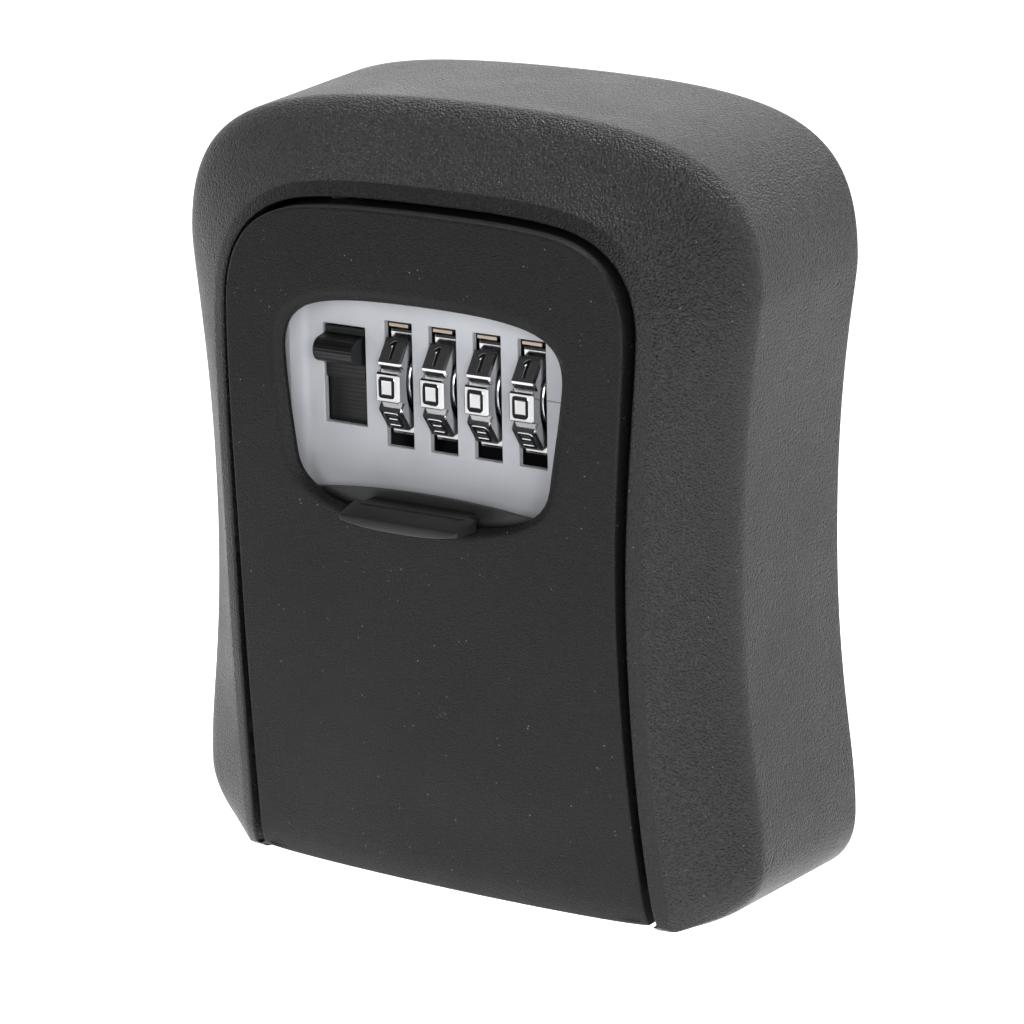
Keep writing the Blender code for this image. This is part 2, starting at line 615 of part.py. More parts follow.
def build_detent_comb():
    left = DIAL_X - 3.6
    right = DIAL_X + (DIAL_COUNT - 1) * DIAL_PITCH + 3.6
    back = COMB_Y + COMB_THICK
    spine = box_mesh("detent_comb", (left, COMB_Y, COMB_SPINE), (right, back, COMB_TOP))
    comb = door_part("detent_comb", spine, "bronze")
    for i in range(DIAL_COUNT):
        middle = DIAL_X + i * DIAL_PITCH
        edges = (middle - LEAF_WIDTH / 2, middle + LEAF_WIDTH / 2)
        leaf = box_mesh(f"leaf_{i + 1}", (edges[0], COMB_Y, LEAF_BOTTOM), (edges[1], back, COMB_SPINE + 1))
        tip = box_mesh(f"tip_{i + 1}", (edges[0], TIP_FRONT, TIP_BOTTOM), (edges[1], COMB_Y + 0.2, TIP_TOP))
        join(comb, from_pin(leaf))
        join(comb, from_pin(tip))


def dial_outline():
    """A dial seen along its axle: one flat block for each digit, with a groove between blocks."""
    points = []
    for digit in range(DIGITS):
        middle = 360 / DIGITS * digit
        spots = (
            (DIAL_RADIUS, middle - DIAL_BLOCK_HALF_DEG),
            (DIAL_RADIUS, middle + DIAL_BLOCK_HALF_DEG),
            (DIAL_GROOVE_RADIUS, middle + 180 / DIGITS),
        )
        for radius, degrees in spots:
            angle = math.radians(degrees)
            points.append((-radius * math.cos(angle), radius * math.sin(angle)))
    return points


def build_dial(number):
    """A dial, with its origin on the axle."""
    middle = DIAL_X + (number - 1) * DIAL_PITCH
    half = DIAL_WIDTH / 2
    place = (middle, AXLE_Y - PIN_Y, AXLE_Z - PIN_Z)
    axis = add_empty(f"dial_{number}_axis", place, DOOR)
    mesh = disc_prism_mesh(f"dial_{number}", dial_outline(), -half, half)
    dial = add_object(f"dial_{number}", mesh, PARTS, axis, MATERIALS["chrome"])
    cut(dial, rod_mesh(f"dial_bore_{number}", DIAL_BORE, (-half - 1, 0, 0), (half + 1, 0, 0)))
    for side in (-1, 1):
        start = (side * (half - DIAL_FLANK_DEPTH), 0, 0)
        end = (side * (half + 1), 0, 0)
        cut(dial, rod_mesh(f"dial_flank_{number}_{side}", DIAL_FLANK_RADIUS, start, end))
    low = (half - DIAL_FLANK_DEPTH - KEY_LENGTH - 0.2, 0, -KEY_WIDTH / 2 - GAP)
    high = (half + 1, SLEEVE_RADIUS + KEY_HEIGHT + GAP, KEY_WIDTH / 2 + GAP)
    cut(dial, box_mesh(f"keyway_{number}", low, high))
    build_sleeve(number, axis)


def build_sleeve(number, axis):
    """A clutch sleeve: a tube with a notched disc, and a key that the dial's keyway holds."""
    half = DIAL_WIDTH / 2
    disc_end = DISC_START + DISC_THICK
    last = number == DIAL_COUNT
    tube_end = COLLAR_START + COLLAR_THICK if last else disc_end
    name = f"clutch_sleeve_{number}"
    tube = rod_mesh(name, SLEEVE_RADIUS, (SLEEVE_LEFT, 0, 0), (tube_end, 0, 0), 20)
    sleeve = add_object(name, tube, PARTS, axis, MATERIALS["zinc"])
    join(sleeve, rod_mesh(f"disc_{number}", DISC_RADIUS, (DISC_START, 0, 0), (disc_end, 0, 0)))
    low = (half - DIAL_FLANK_DEPTH - KEY_LENGTH, SLEEVE_RADIUS - 0.6, -KEY_WIDTH / 2)
    high = (DISC_START + 0.4, SLEEVE_RADIUS + KEY_HEIGHT - GAP, KEY_WIDTH / 2)
    join(sleeve, box_mesh(f"key_{number}", low, high))
    if last:
        join(sleeve, rod_mesh("fork_collar", COLLAR_RADIUS, (COLLAR_START, 0, 0), (tube_end, 0, 0)))
    low = (DISC_START - 1, DISC_RADIUS - NOTCH_DEPTH, -NOTCH_WIDTH / 2)
    high = (disc_end + 0.5, DISC_RADIUS + 2, NOTCH_WIDTH / 2)
    cut(sleeve, box_mesh(f"notch_{number}", low, high))
    bore = rod_mesh(f"sleeve_bore_{number}", SLEEVE_BORE, (SLEEVE_LEFT - 1, 0, 0), (tube_end + 1, 0, 0), 20)
    cut(sleeve, bore)


def build_slider():
    """The slider that the user pulls down: a plate behind its slot, a half-round knob and an arm."""
    low = (SLIDER_SLOT_LEFT - 0.7, SLIDER_Y, SLIDER_BOTTOM)
    high = (SLIDER_SLOT_RIGHT + 0.7, SLIDER_Y + SLIDER_THICK, SLIDER_TOP)
    slider = door_part("open_slider", box_mesh("open_slider", low, high), "slider_plastic")
    low = (SLIDER_SLOT_LEFT + GAP, PLATE_Y + 0.2, SLIDER_SLOT_BOTTOM + SLIDER_TRAVEL + GAP)
    high = (SLIDER_SLOT_RIGHT - GAP, SLIDER_Y + 0.5, SLIDER_SLOT_TOP - GAP)
    join(slider, from_pin(box_mesh("raised_pad", low, high)))
    outline = [(SLIDER_Y + 0.4, KNOB_Z + KNOB_HALF_HEIGHT), (SLIDER_Y + 0.4, KNOB_Z - KNOB_HALF_HEIGHT)]
    for step in range(CURVE_STEPS + 1):
        angle = math.radians(-90 + 180 * step / CURVE_STEPS)
        nose = KNOB_FRONT + KNOB_HALF_HEIGHT * (1 - math.cos(angle))
        outline.append((nose, KNOB_Z + KNOB_HALF_HEIGHT * math.sin(angle)))
    knob = disc_prism_mesh("knob", outline, SLIDER_SLOT_LEFT + GAP, SLIDER_SLOT_RIGHT - GAP)
    join(slider, from_pin(knob))
    middle = (SLIDER_SLOT_LEFT + SLIDER_SLOT_RIGHT) / 2
    low = (middle - ARM_HALF, SLIDER_Y + 0.6, ARM_BOTTOM)
    high = (middle + ARM_HALF, LATCH_Y - GAP, ARM_TOP)
    join(slider, from_pin(box_mesh("slider_arm", low, high)))
    for z in PEG_ZS:
        start, end = (middle, LATCH_Y - 1.5, z), (middle, LATCH_Y + LATCH_THICK, z)
        join(slider, from_pin(rod_mesh(f"peg_{z:.0f}", PEG_RADIUS, start, end, 16)))


def build_latch():
    """The latch plate: a strip that the slider moves, a nose at its top and a fence with fingers."""
    back = LATCH_Y + LATCH_THICK
    strip = box_mesh(
        "latch_plate", (LATCH_LEFT, LATCH_Y, LATCH_BOTTOM), (LATCH_RIGHT, back, LATCH_TOP)
    )
    latch = door_part("latch_plate", strip, "steel")
    left, right = LATCH_LEFT + 1, LATCH_RIGHT - 1
    join(latch, from_pin(box_mesh("nose_arm", (left, NOSE_FRONT, NOSE_BOTTOM), (right, back, LATCH_TOP))))
    join(latch, from_pin(box_mesh("nose", (left, NOSE_FRONT, NOSE_BOTTOM), (right, NOSE_BACK, NOSE_TOP))))
    fence = box_mesh("fence", (LATCH_RIGHT - 1, LATCH_Y, FENCE_BOTTOM), (FENCE_RIGHT, back, FENCE_TOP))
    join(latch, from_pin(fence))
    for i in range(DIAL_COUNT):
        disc_middle = DIAL_X + i * DIAL_PITCH + DISC_START + DISC_THICK / 2
        low = (disc_middle - FINGER_THICK / 2, FINGER_TIP, FENCE_BOTTOM + 0.4)
        high = (disc_middle + FINGER_THICK / 2, LATCH_Y + 0.4, FENCE_TOP - 0.4)
        join(latch, from_pin(box_mesh(f"finger_{i + 1}", low, high)))
    middle = (SLIDER_SLOT_LEFT + SLIDER_SLOT_RIGHT) / 2
    for z in PEG_ZS:
        start, end = (middle, LATCH_Y - 1, z), (middle, back + 1, z)
        cut(latch, from_pin(rod_mesh(f"peg_hole_{z:.0f}", PEG_RADIUS + GAP, start, end, 16)))


def build_spring():
    """The coil that lifts the slider again, between the case's floor and the slider's arm."""
    curve = bpy.data.curves.new("slider_spring", "CURVE")
    curve.dimensions = "3D"
    curve.bevel_depth = SPRING_WIRE * MM
    curve.bevel_resolution = 2
    curve.use_fill_caps = True
    steps = SPRING_TURNS * 12
    spline = curve.splines.new("POLY")
    spline.points.add(steps)
    middle = (SLIDER_SLOT_LEFT + SLIDER_SLOT_RIGHT) / 2
    for step, point in enumerate(spline.points):
        share = step / steps
        angle = 2 * math.pi * SPRING_TURNS * share
        x = middle + SPRING_RADIUS * math.cos(angle)
        y = SPRING_Y - PIN_Y + SPRING_RADIUS * math.sin(angle)
        z = SPRING_LOW + (SPRING_HIGH - SPRING_LOW) * share - PIN_Z
        point.co = (x * MM, y * MM, z * MM, 1.0)
    add_object("slider_spring", curve, PARTS, DOOR, MATERIALS["steel"])


def build_lever():
    """The lever that shifts the sleeves out of the dials, so that the code can be changed."""
    back = LATCH_Y + LATCH_THICK
    plate = box_mesh(
        "reset_lever", (LEVER_LEFT, LATCH_Y, LEVER_BOTTOM), (LEVER_RIGHT, back, LEVER_TOP)
    )
    lever = door_part("reset_lever", plate, "brass")
    knob = box_mesh(
        "lever_knob",
        (LEVER_KNOB_LEFT, LATCH_Y + 0.4, LEVER_BOTTOM + 1.5),
        (LEVER_KNOB_RIGHT, CASE_BACK + 0.8, LEVER_TOP - 1.5),
    )
    join(lever, from_pin(knob))
    last_dial = DIAL_X + (DIAL_COUNT - 1) * DIAL_PITCH
    left = last_dial + DISC_START + DISC_THICK + 0.6
    right = last_dial + COLLAR_START - GAP
    arm = box_mesh("fork_arm", (left, AXLE_Y - 1.0, LEVER_BOTTOM), (right, LATCH_Y + 0.4, LEVER_TOP))
    fork = box_mesh(
        "fork", (left, AXLE_Y - 4.0, LEVER_BOTTOM + 2), (right, AXLE_Y + 4.6, AXLE_Z + 0.5)
    )
    gap = box_mesh(
        "fork_gap",
        (left - 1, AXLE_Y - SLEEVE_RADIUS - 0.4, AXLE_Z - SLEEVE_RADIUS - 0.4),
        (right + 1, AXLE_Y + SLEEVE_RADIUS + 0.4, AXLE_Z + 4),
    )
    join(lever, from_pin(arm))
    join(lever, from_pin(fork))
    cut(lever, from_pin(gap))


clear_scene()
PARTS = new_collection("key_lock_box")
CUTTERS = new_collection("cutters", hidden=True)
MATERIALS = {
    "cast_shell": make_material("cast_shell", BLACK, 0.62, 0.0),
    "door_cast": make_material("door_cast", DOOR_BLACK, 0.55, 0.0),
    "shutter_plastic": make_material("shutter_plastic", TRIM_BLACK, 0.45, 0.0),
    "plate_plastic": make_material("plate_plastic", PALE_GREY, 0.5, 0.0),
    "slider_plastic": make_material("slider_plastic", TRIM_BLACK, 0.4, 0.0),
    "case_plastic": make_material("case_plastic", TRIM_BLACK, 0.5, 0.0),
    "steel": make_material("steel", STEEL, 0.35, 1.0),
    "chrome": make_material("chrome", CHROME, 0.12, 1.0),
    "zinc": make_material("zinc", ZINC, 0.4, 1.0),
    "bronze": make_material("bronze", BRONZE, 0.4, 1.0),
    "brass": make_material("brass", (0.60, 0.46, 0.20), 0.35, 1.0),
}
DOOR = add_empty("door_hinge_axis", (0, PIN_Y, PIN_Z))
build_body()
build_hinge_pin()
build_door()
build_shutter()
build_dial_plate()
build_case()
build_screws()
build_axle()
build_detent_comb()
for dial_number in range(1, DIAL_COUNT + 1):
    build_dial(dial_number)
build_slider()
build_latch()
build_spring()
build_lever()
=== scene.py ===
"""Looks for the key lock box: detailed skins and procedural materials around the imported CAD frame.

Lengths are in millimetres in the row frame (X right, Y back to the wall, Z up) and are turned
into metres when a mesh is made. The outlines repeat those of the CAD part, with more points.
"""

import bisect
import math

import bmesh
import bpy
from mathutils import Matrix, Vector


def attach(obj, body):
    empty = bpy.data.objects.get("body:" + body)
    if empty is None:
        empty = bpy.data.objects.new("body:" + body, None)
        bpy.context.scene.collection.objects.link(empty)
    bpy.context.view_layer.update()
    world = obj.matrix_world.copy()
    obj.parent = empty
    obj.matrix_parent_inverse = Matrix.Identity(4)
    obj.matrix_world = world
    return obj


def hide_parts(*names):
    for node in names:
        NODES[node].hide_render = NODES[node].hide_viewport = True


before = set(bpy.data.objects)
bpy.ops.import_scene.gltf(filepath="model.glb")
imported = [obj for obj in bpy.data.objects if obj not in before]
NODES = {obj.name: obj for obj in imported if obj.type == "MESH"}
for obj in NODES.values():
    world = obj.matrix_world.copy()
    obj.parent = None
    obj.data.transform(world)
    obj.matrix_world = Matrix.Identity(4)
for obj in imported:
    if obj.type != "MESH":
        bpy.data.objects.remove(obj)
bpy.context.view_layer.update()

MM = 0.001
GAP = 0.3  # clearance between pieces that fit together
OVERLAP = 0.2  # how far joined shapes reach into each other
STEPS = 20  # points on each stretch of an outline

# Body: the CAD part's sizes, with a sharper ridge and a shallower crease
BODY_TOP, BODY_BOTTOM = 58.7, -58.7
BULGE, WAIST, FOOT = 47.9, 44.8, 48.0  # half widths near the top, at the waist and near the bottom
BACK_CHAMFER, BACK_ROUND = 0.3, 0.09  # the back edge's bevel, and a ring that rounds it
RIDGE_Y, RIDGE_ROUND = -28.5, 2.1  # where the side wall turns into the sloping front band
SIDE_DRAFT, RIDGE_SOFTNESS = 0.4, 1.5  # how much narrower and rounder the ridge is than the back
RIM_Y, RIM_Z, RIM_RADIUS = -39.75, -0.5, 330.0  # the front rim's most forward point, and its curve
RIM_SOFT, RIM_SOFT_DROP = 0.45, 0.1  # where the rim's rounding starts: outside the edge, and behind it
RIM_EDGE, RIM_EDGE_DEPTH = 0.02, 0.4  # where the rounding ends: inside the edge, and behind it
RIM_TRIM, MOUTH_FLOOR_Y = 1.5, -30.0  # the uncut body dips into the door opening, to a flat floor
CREASE_WIDTH, CREASE_DROP = 2.4, 1.1  # the crease: distance outside the rim, and behind it
CREASE_LOW = 0.8  # how much further down the crease runs at the bottom
SIDE_SHARES, BAND_SHARES = (0.06, 0.35, 0.65, 0.94), (0.05, 0.35, 0.65, 0.95)  # rings on flat stretches
BAND_START, BAND_END, FACET_START = 0.3, 0.08, 0.1  # where the roundings of ridge and crease stop
FACET_WIDTH, FACET_DEPTH = 1.8, 1.5  # the faces that lie in this reach of the rim get the rim's coat, darker as painted shade
WALL, BACK_WALL, LIP = 3.0, 2.5, 2.8
HOLLOW_DRAFT, HOLLOW_START, LIP_WIDTH = 0.3, 1.5, 1.6  # how the space inside narrows towards the mouth
WALL_HOLE_RADIUS, WALL_HOLE_DEPTH, WALL_HOLE_X, WALL_HOLE_Z = 2.3, 4.0, 24.0, 36.0
TUCK, TUCK_START = 0.03, -51.0  # the front's roll back towards the bottom edge, which the CAD leaves out
CUT_FRONT, CUT_BELOW, CUT_SIDE, CUT_PAST = -60.0, 20.0, 40.0, 1.0  # where cutters end, past the body

# Door: the CAD part's sizes, with lower corners and a sharper edge
FACE_Y, FACE_Z, FACE_RADIUS, CROWN_RADIUS = -41.4, 5.5, 350.0, 570.0
DOOR_TOP, DOOR_BOTTOM, DOOR_CORNER = 44.4, -56.3, -55.95
DOOR_SHOULDER, DOOR_WAIST, DOOR_FOOT = 33.0, 31.75, 33.3  # half widths
DOOR_GAP, TOP_GAP = 1.2, 0.9
DOOR_INNER_Y, DOOR_SIDE_WALL, DOOR_BACK_Y, DOOR_ROUND = -39.35, 1.3, -32.5, 0.4
DOOR_BACK_BEVEL, DOOR_INNER_BEVEL = 0.2, 0.3
FACE_SHARES = (0.06, 0.15, 0.26, 0.38, 0.5, 0.62, 0.74, 0.84, 0.91, 0.95, 0.98)  # window to edge
INNER_SHARES = (0.02, 0.12, 0.28, 0.45, 0.62, 0.8, 0.92)  # side wall to window
WINDOW_TOP, WINDOW_BOTTOM, WINDOW_HALF, WINDOW_MIDDLE = 32.7, -0.5, 24.5, 16.0
WINDOW_CHAMFER, WINDOW_CHAMFER_DEPTH, BROW_WIDTH = 1.2, 1.0, 0.9
PIN_Y, PIN_Z, PIN_RADIUS = -31.0, -51.5, 1.25
BARREL_RADIUS, BARREL_HALF = 4.2, 32.5
WEB_INSET, WEB_FRONT, WEB_BOTTOM, WEB_TOP = 0.6, 0.3, 0.5, 1.0  # the block that joins barrel and door
MOUTH_BACK_Y = -22.2  # how far back the door's opening is cut through the bottom wall
BOSS_OUTER_X, BOSS_REACH, BOSS_FRONT = 39.3, 2.8, 6.0  # the housing's bosses that hold the pin
BOSS_INSET, PIN_HOLE_END = 0.5, 1.0  # outside the door's foot; the wall left at the end of the pin's hole
SCREW_X, SCREW_ZS = 27.9, (30.5, -3.0)
EAR_FRONT, SCREW_TIP, SCREW_SHANK, BOSS_RADIUS = -28.4, -34.7, 1.0, 1.8
BOSS_START, PILOT_TIP, PILOT_BACK = 0.02, 0.5, 2.0  # behind the door's inside; past the screw's ends

# Weather shutter
SHUTTER_Y, SHUTTER_THICK, SHUTTER_HALF = -39.1, 0.7, 25.0
SHUTTER_TOP, SHUTTER_BOTTOM, SHUTTER_ARCH = 4.3, -32.0, 2.25
SHUTTER_COLUMNS, SHUTTER_ROWS = 48, 20
TAB_HALF, TAB_TOP, TAB_BOTTOM, TAB_REACH = 10.3, 2.9, 0.1, 4.7
TAB_STEPS, TAB_CROWN = 28, 0.25  # points over the tab's top, and how far its corners drop
NECK_INSET, NECK_BOTTOM, NECK_ROUND = 1.2, 1.2, 0.7  # what joins the tab to the plate

# Dial plate: a shallow tub with a flange, behind the window
FLANGE_Y, FLANGE_THICK = -36.95, 1.0
FLANGE_HALF, FLANGE_TOP, FLANGE_BOTTOM, FLANGE_ROUND = 25.8, 34.4, -7.2, 4.0
PLATE_Y, PLATE_THICK = -34.55, 1.0
TUB_HALF, TUB_TOP, TUB_BOTTOM, TUB_FLARE, TUB_WALL = 23.0, 32.2, -1.0, 0.9, 0.9
TUB_MOUTH_ROUND, TUB_FLOOR_ROUND = 7.0, 6.0
TUB_FILLET = 1.1  # the rounding between the tub's wall and floor
SLOT_WIDTH, SLOT_TOP, SLOT_BOTTOM, SLOT_BEVEL = 4.6, 27.5, 9.2, 0.12
SLOT_ROUND, SLOT_MOUTH_ROUND, SLOT_CUT_FRONT, SLOT_CUT_BACK = 0.15, 0.2, 0.6, 3.0
MARK_RISE, MARK_HALF, MARK_DEPTH, MARK_OUT, MARK_GAP = 0.6, 0.25, 0.22, 0.2, 0.15  # index notches
MARK_LENGTH, LAST_MARK_LENGTH = 1.1, 2.2

# Dials
AXLE_Y, AXLE_Z = -29.0, 18.6
DIAL_COUNT, DIAL_X, DIAL_PITCH, DIAL_WIDTH, DIGITS = 4, -6.9, 7.4, 4.0, 10
FLAT = 8.62  # the distance from the axle to a digit's flat
FLAT_SPOTS = (-1.9, -1.0, 0.0, 1.0, 1.9)  # points across a flat
BLOCK_HALF, BLOCK_BEVEL, BLOCK_SHOULDER = 2.14, 0.30, 0.28
BLOCK_TAPER, FLANK_BEVEL = 0.93, 0.27
GROOVE_RADIUS = 7.75
FLANK = (  # radius, and how far in from the dial's side
    (3.0, 0.45),
    (3.15, 0.3),
    (3.75, 0.3),
    (3.85, 0.5),
    (4.6, 0.5),
    (4.7, 0.28),
    (5.35, 0.28),
    (5.45, 0.5),
    (6.45, 0.5),
    (6.6, 0.05),
    (6.8, 0.0),
    (7.3, 0.0),
)
STROKE, STROKE_RISE, STROKE_SINK = 0.74, 0.065, 0.01
STROKE_SECTION = ((-1, 0.0), (-0.62, 1.0), (0.62, 1.0), (1, 0.0))  # across the stroke, and up
STROKE_ROUND, MITRE_LIMIT = 0.32, 0.5
GLYPH = {  # strokes on each flat; None closes a stroke into a loop
    0: [[(-1.08, 1.28), (1.08, 1.28), (1.08, -1.28), (-1.08, -1.28), None]],
    1: [[(-0.55, 0.75), (0.1, 1.35), (0.1, -1.35)]],
    2: [[(-1.0, 1.3), (1.0, 1.3), (1.0, 0.0), (-1.0, 0.0), (-1.0, -1.3), (1.0, -1.3)]],
    3: [[(-1.0, 1.3), (1.0, 1.3), (1.0, -1.3), (-1.0, -1.3)], [(-0.5, 0.0), (0.75, 0.0)]],
    4: [[(-1.0, 1.3), (-1.0, 0.0), (0.6, 0.0)], [(0.85, 1.3), (0.85, -1.3)]],
    5: [[(1.0, 1.3), (-1.0, 1.3), (-1.0, 0.0), (1.0, 0.0), (1.0, -1.3), (-1.0, -1.3)]],
    6: [[(1.0, 1.3), (-1.0, 1.3), (-1.0, -1.3), (1.0, -1.3), (1.0, 0.0), (-0.7, 0.0)]],
    7: [[(-1.0, 1.3), (1.0, 1.3), (0.1, -1.3)]],
    8: [[(-1.0, 1.3), (1.0, 1.3), (1.0, -1.3), (-1.0, -1.3), None], [(-0.7, 0.0), (0.7, 0.0)]],
    9: [[(-1.0, -1.3), (1.0, -1.3), (1.0, 1.3), (-1.0, 1.3), (-1.0, 0.0), (0.7, 0.0)]],
}

# Open slider
SLIDER_LEFT, SLIDER_RIGHT, SLIDER_SLOT_BOTTOM, SLIDER_SLOT_TOP = -19.75, -12.55, 11.5, 26.0
SLIDER_Y, SLIDER_TOP, SLIDER_BOTTOM = -33.25, 32.7, 10.0
PAD_SINK, PAD_BOTTOM = 0.25, 17.8  # the raised pad: behind the plate's face, and where it ends
RIB_PITCH, RIB_DEPTH = 0.62, 0.045
KNOB_Z, KNOB_HALF_HEIGHT, KNOB_FRONT = 22.6, 1.8, -37.7
KNOB_STEPS, KNOB_RIPPLE, BELOW_KNOB = 24, 0.05, 0.35
PROFILE_BACK, PROFILE_END = 0.5, 0.8  # behind the slider's face, and above its bottom
SLIDER_SIDE, SLIDER_FRONT, SLIDER_THICK = 0.7, 0.1, 1.2  # the plate behind, past the slot and the face
ARM_HALF, ARM_BOTTOM, ARM_TOP, ARM_FRONT, ARM_BACK_Y = 2.2, 9.5, 31.5, 0.6, -20.0
PEG_RADIUS, PEG_START, PEG_END, PEG_ZS = 1.0, -21.2, -18.6, (15.0, 29.0)

# CAD nodes that stay, by material; dress_nodes adds the numbered ones
KEPT = {
    "steel": ("hinge_pin", "dial_axle", "axle_clip", "latch_plate", "slider_spring"),
    "case_plastic": ("lock_case",),
    "bronze": ("detent_comb",),
    "brass": ("reset_lever",),
}
NODE_BEVEL, NODE_BEVEL_ANGLE = 0.12, 40.0

# Stage, in metres: the box hangs well above the floor, as on a wall
FLOOR_Z, FLOOR_SIZE, FLOOR_GLOW = -0.32, 30.0, 0.58
LIGHTS = (  # name, place, target, size, watts
    ("left", (-1.1, -0.1, 0.25), (0, 0, 0), (0.4, 0.7), 1.0),
    ("fill", (0.30, -1.05, 0.35), (0, 0, 0), (0.55, 0.55), 8.0),
    ("key", (0.94, -0.94, 0.38), (0, 0, 0.03), (0.35, 0.35), 8.0),
    ("top", (0.1, 0.45, 0.9), (0, 0, 0.05), (0.8, 0.5), 13.0),
)
SKY = (  # place from the front (0) to the back (1), and brightness
    (0.36, (0.07, 0.07, 0.072)),
    (0.62, 1.05),
    (0.93, 1.75),
)
CAMERA_PLACE = (0.32665, -0.52523, 0.17359)
CAMERA_YAW, CAMERA_PITCH, CAMERA_ROLL = 32.699, 16.368, -1.054  # degrees
FOCAL_LENGTH, SENSOR_WIDTH = 152.65, 36.0


# ---------------------------------------------------------------- outlines


def part_way(start, end, share):
    return tuple(a + (b - a) * share for a, b in zip(start, end))


def between(first, second, share):
    """The outline or ring that lies part of the way from one to another."""
    return [part_way(p, q, share) for p, q in zip(first, second)]


def bezier(start, start_handle, end_handle, end):
    points = []
    for step in range(STEPS):
        t = step / STEPS
        s = 1 - t
        weights = (s**3, 3 * s * s * t, 3 * s * t * t, t**3)
        corners = (start, start_handle, end_handle, end)
        points.append(tuple(sum(w * c[k] for w, c in zip(weights, corners)) for k in (0, 1)))
    return points


def split(stretch, share):
    """One Bezier stretch as two that follow the same curve."""
    first, second, third, last = stretch
    start, end = part_way(first, second, share), part_way(third, last, share)
    middle = part_way(second, third, share)
    left, right = part_way(start, middle, share), part_way(middle, end, share)
    meeting = part_way(left, right, share)
    return [(first, start, left, meeting), (meeting, right, end, last)]


def symmetric(stretches):
    """A closed outline from its right half, which runs from the top to the bottom."""
    right = [point for stretch in stretches for point in bezier(*stretch)]
    right.append(stretches[-1][-1])
    left = [(-x, z) for x, z in right[1:-1]]
    return right + left[::-1]


def body_outline(inset=0.0, soft=0.0):
    """The body's outline: arched top, waisted sides and a shallow belly; soft rounds its corners."""
    top, bottom = BODY_TOP - inset, BODY_BOTTOM + inset
    bulge, waist, foot = BULGE - inset, WAIST - inset, FOOT - inset
    low, near = (foot, -53.2 + soft), (foot - 4.2 - soft / 2, bottom + 1.6 + soft / 2)
    return symmetric(
        [
            *split(((0, top), (36.2 - soft, top), (bulge, top - 3.2 - soft), (bulge, 35.8)), 0.42),
            ((bulge, 35.8), (bulge, 32), (waist, 20.3), (waist, -3.7)),
            ((waist, -3.7), (waist, -27.7), (foot, -36), (foot, -46.5)),
            *split(((foot, -46.5), low, near, (foot - 14, bottom + 0.8)), 0.5),
            ((foot - 14, bottom + 0.8), (foot - 22, bottom), (12, bottom), (0, bottom)),
        ]
    )


def door_outline(grow=0.0, grow_top=0.0, drop=0.0):
    top, corner, bottom = DOOR_TOP + grow_top, DOOR_CORNER - drop, DOOR_BOTTOM - drop
    shoulder, waist, foot = DOOR_SHOULDER + grow, DOOR_WAIST + grow, DOOR_FOOT + grow
    return symmetric(
        [
            ((0, top), (10, top), (15, top - 0.2), (20, top - 0.8)),
            ((20, top - 0.8), (28, top - 1.7), (shoulder, top - 5.9), (shoulder, 29.5)),
            ((shoulder, 29.5), (shoulder, 20), (waist, 6), (waist, -9)),
            *split(((waist, -9), (waist, -25), (foot - 1.0, -42), (foot, corner + 0.5)), 0.75),
            *split(((foot, corner + 0.5), (foot, corner - 0.1), (20, bottom), (0, bottom)), 0.1),
        ]
    )


def even_door(grow):
    """The door's outline, grown by the same width on all sides."""
    return door_outline(grow, grow, grow)


def mouth_outline(grow=0.0, drop=0.0):
    """The opening for the door: the door's outline and the gap round it."""
    return door_outline(DOOR_GAP + grow, TOP_GAP + grow, drop)


def window_outline(grow=0.0):
    half, top, bottom = WINDOW_HALF + grow, WINDOW_TOP + grow, WINDOW_BOTTOM - grow
    return symmetric(
        [
            ((0, top), (19, top), (half, top - 1.9), (half, 23.0)),
            ((half, 23.0), (half - 0.5, 17), (half - 1.4, 12.5), (half - 2.0, 8)),
            ((half - 2.0, 8), (half - 2.8, 3), (15, bottom), (0, bottom)),
        ]
    )


def rounded_rectangle(half, bottom, top, radius, middle=0.0, steps=10):
    points = []
    corners = ((1, top, 0), (-1, top, 90), (-1, bottom, 180), (1, bottom, 270))
    for side, edge, begin in corners:
        inward = -1 if edge == top else 1
        centre = (middle + side * (half - radius), edge + inward * radius)
        for step in range(steps + 1):
            angle = math.radians(begin + 90 * step / steps)
            points.append((centre[0] + radius * math.cos(angle), centre[1] + radius * math.sin(angle)))
    return points


def clock_angle(point):
    """The angle round the window's middle, from the top and growing clockwise."""
    return math.atan2(point[0], point[1] - WINDOW_MIDDLE) % (2 * math.pi)


def matched(outline, guide):
    """The outline's points that lie in the same directions as the guide's points."""
    angles = [clock_angle(point) for point in outline] + [2 * math.pi]
    loop = outline + outline[:1]
    found = []
    for point in guide:
        angle = clock_angle(point)
        i = min(max(bisect.bisect_right(angles, angle), 1), len(outline))
        share = (angle - angles[i - 1]) / (angles[i] - angles[i - 1])
        found.append(part_way(loop[i - 1], loop[i], share))
    return found


def encloses(outline, x, z):
    """Whether a point lies inside an outline, by counting the edges to its right."""
    crossed = False
    for (x0, z0), (x1, z1) in zip(outline, outline[1:] + outline[:1]):
        if (z0 > z) != (z1 > z) and x < x0 + (x1 - x0) * (z - z0) / (z1 - z0):
            crossed = not crossed
    return crossed


# ---------------------------------------------------------------- depths


def tuck(z):
    """How far the front rolls back towards the bottom edge."""
    return TUCK * max(0.0, TUCK_START - z) ** 2


def face_depth(behind=0.0):
    """The depth of the domed face, or of the surface at a distance behind it."""

    def depth(x, z):
        crown = x * x / (2 * CROWN_RADIUS) + (z - FACE_Z) ** 2 / (2 * FACE_RADIUS)
        return FACE_Y + behind + crown + tuck(z)

    return depth


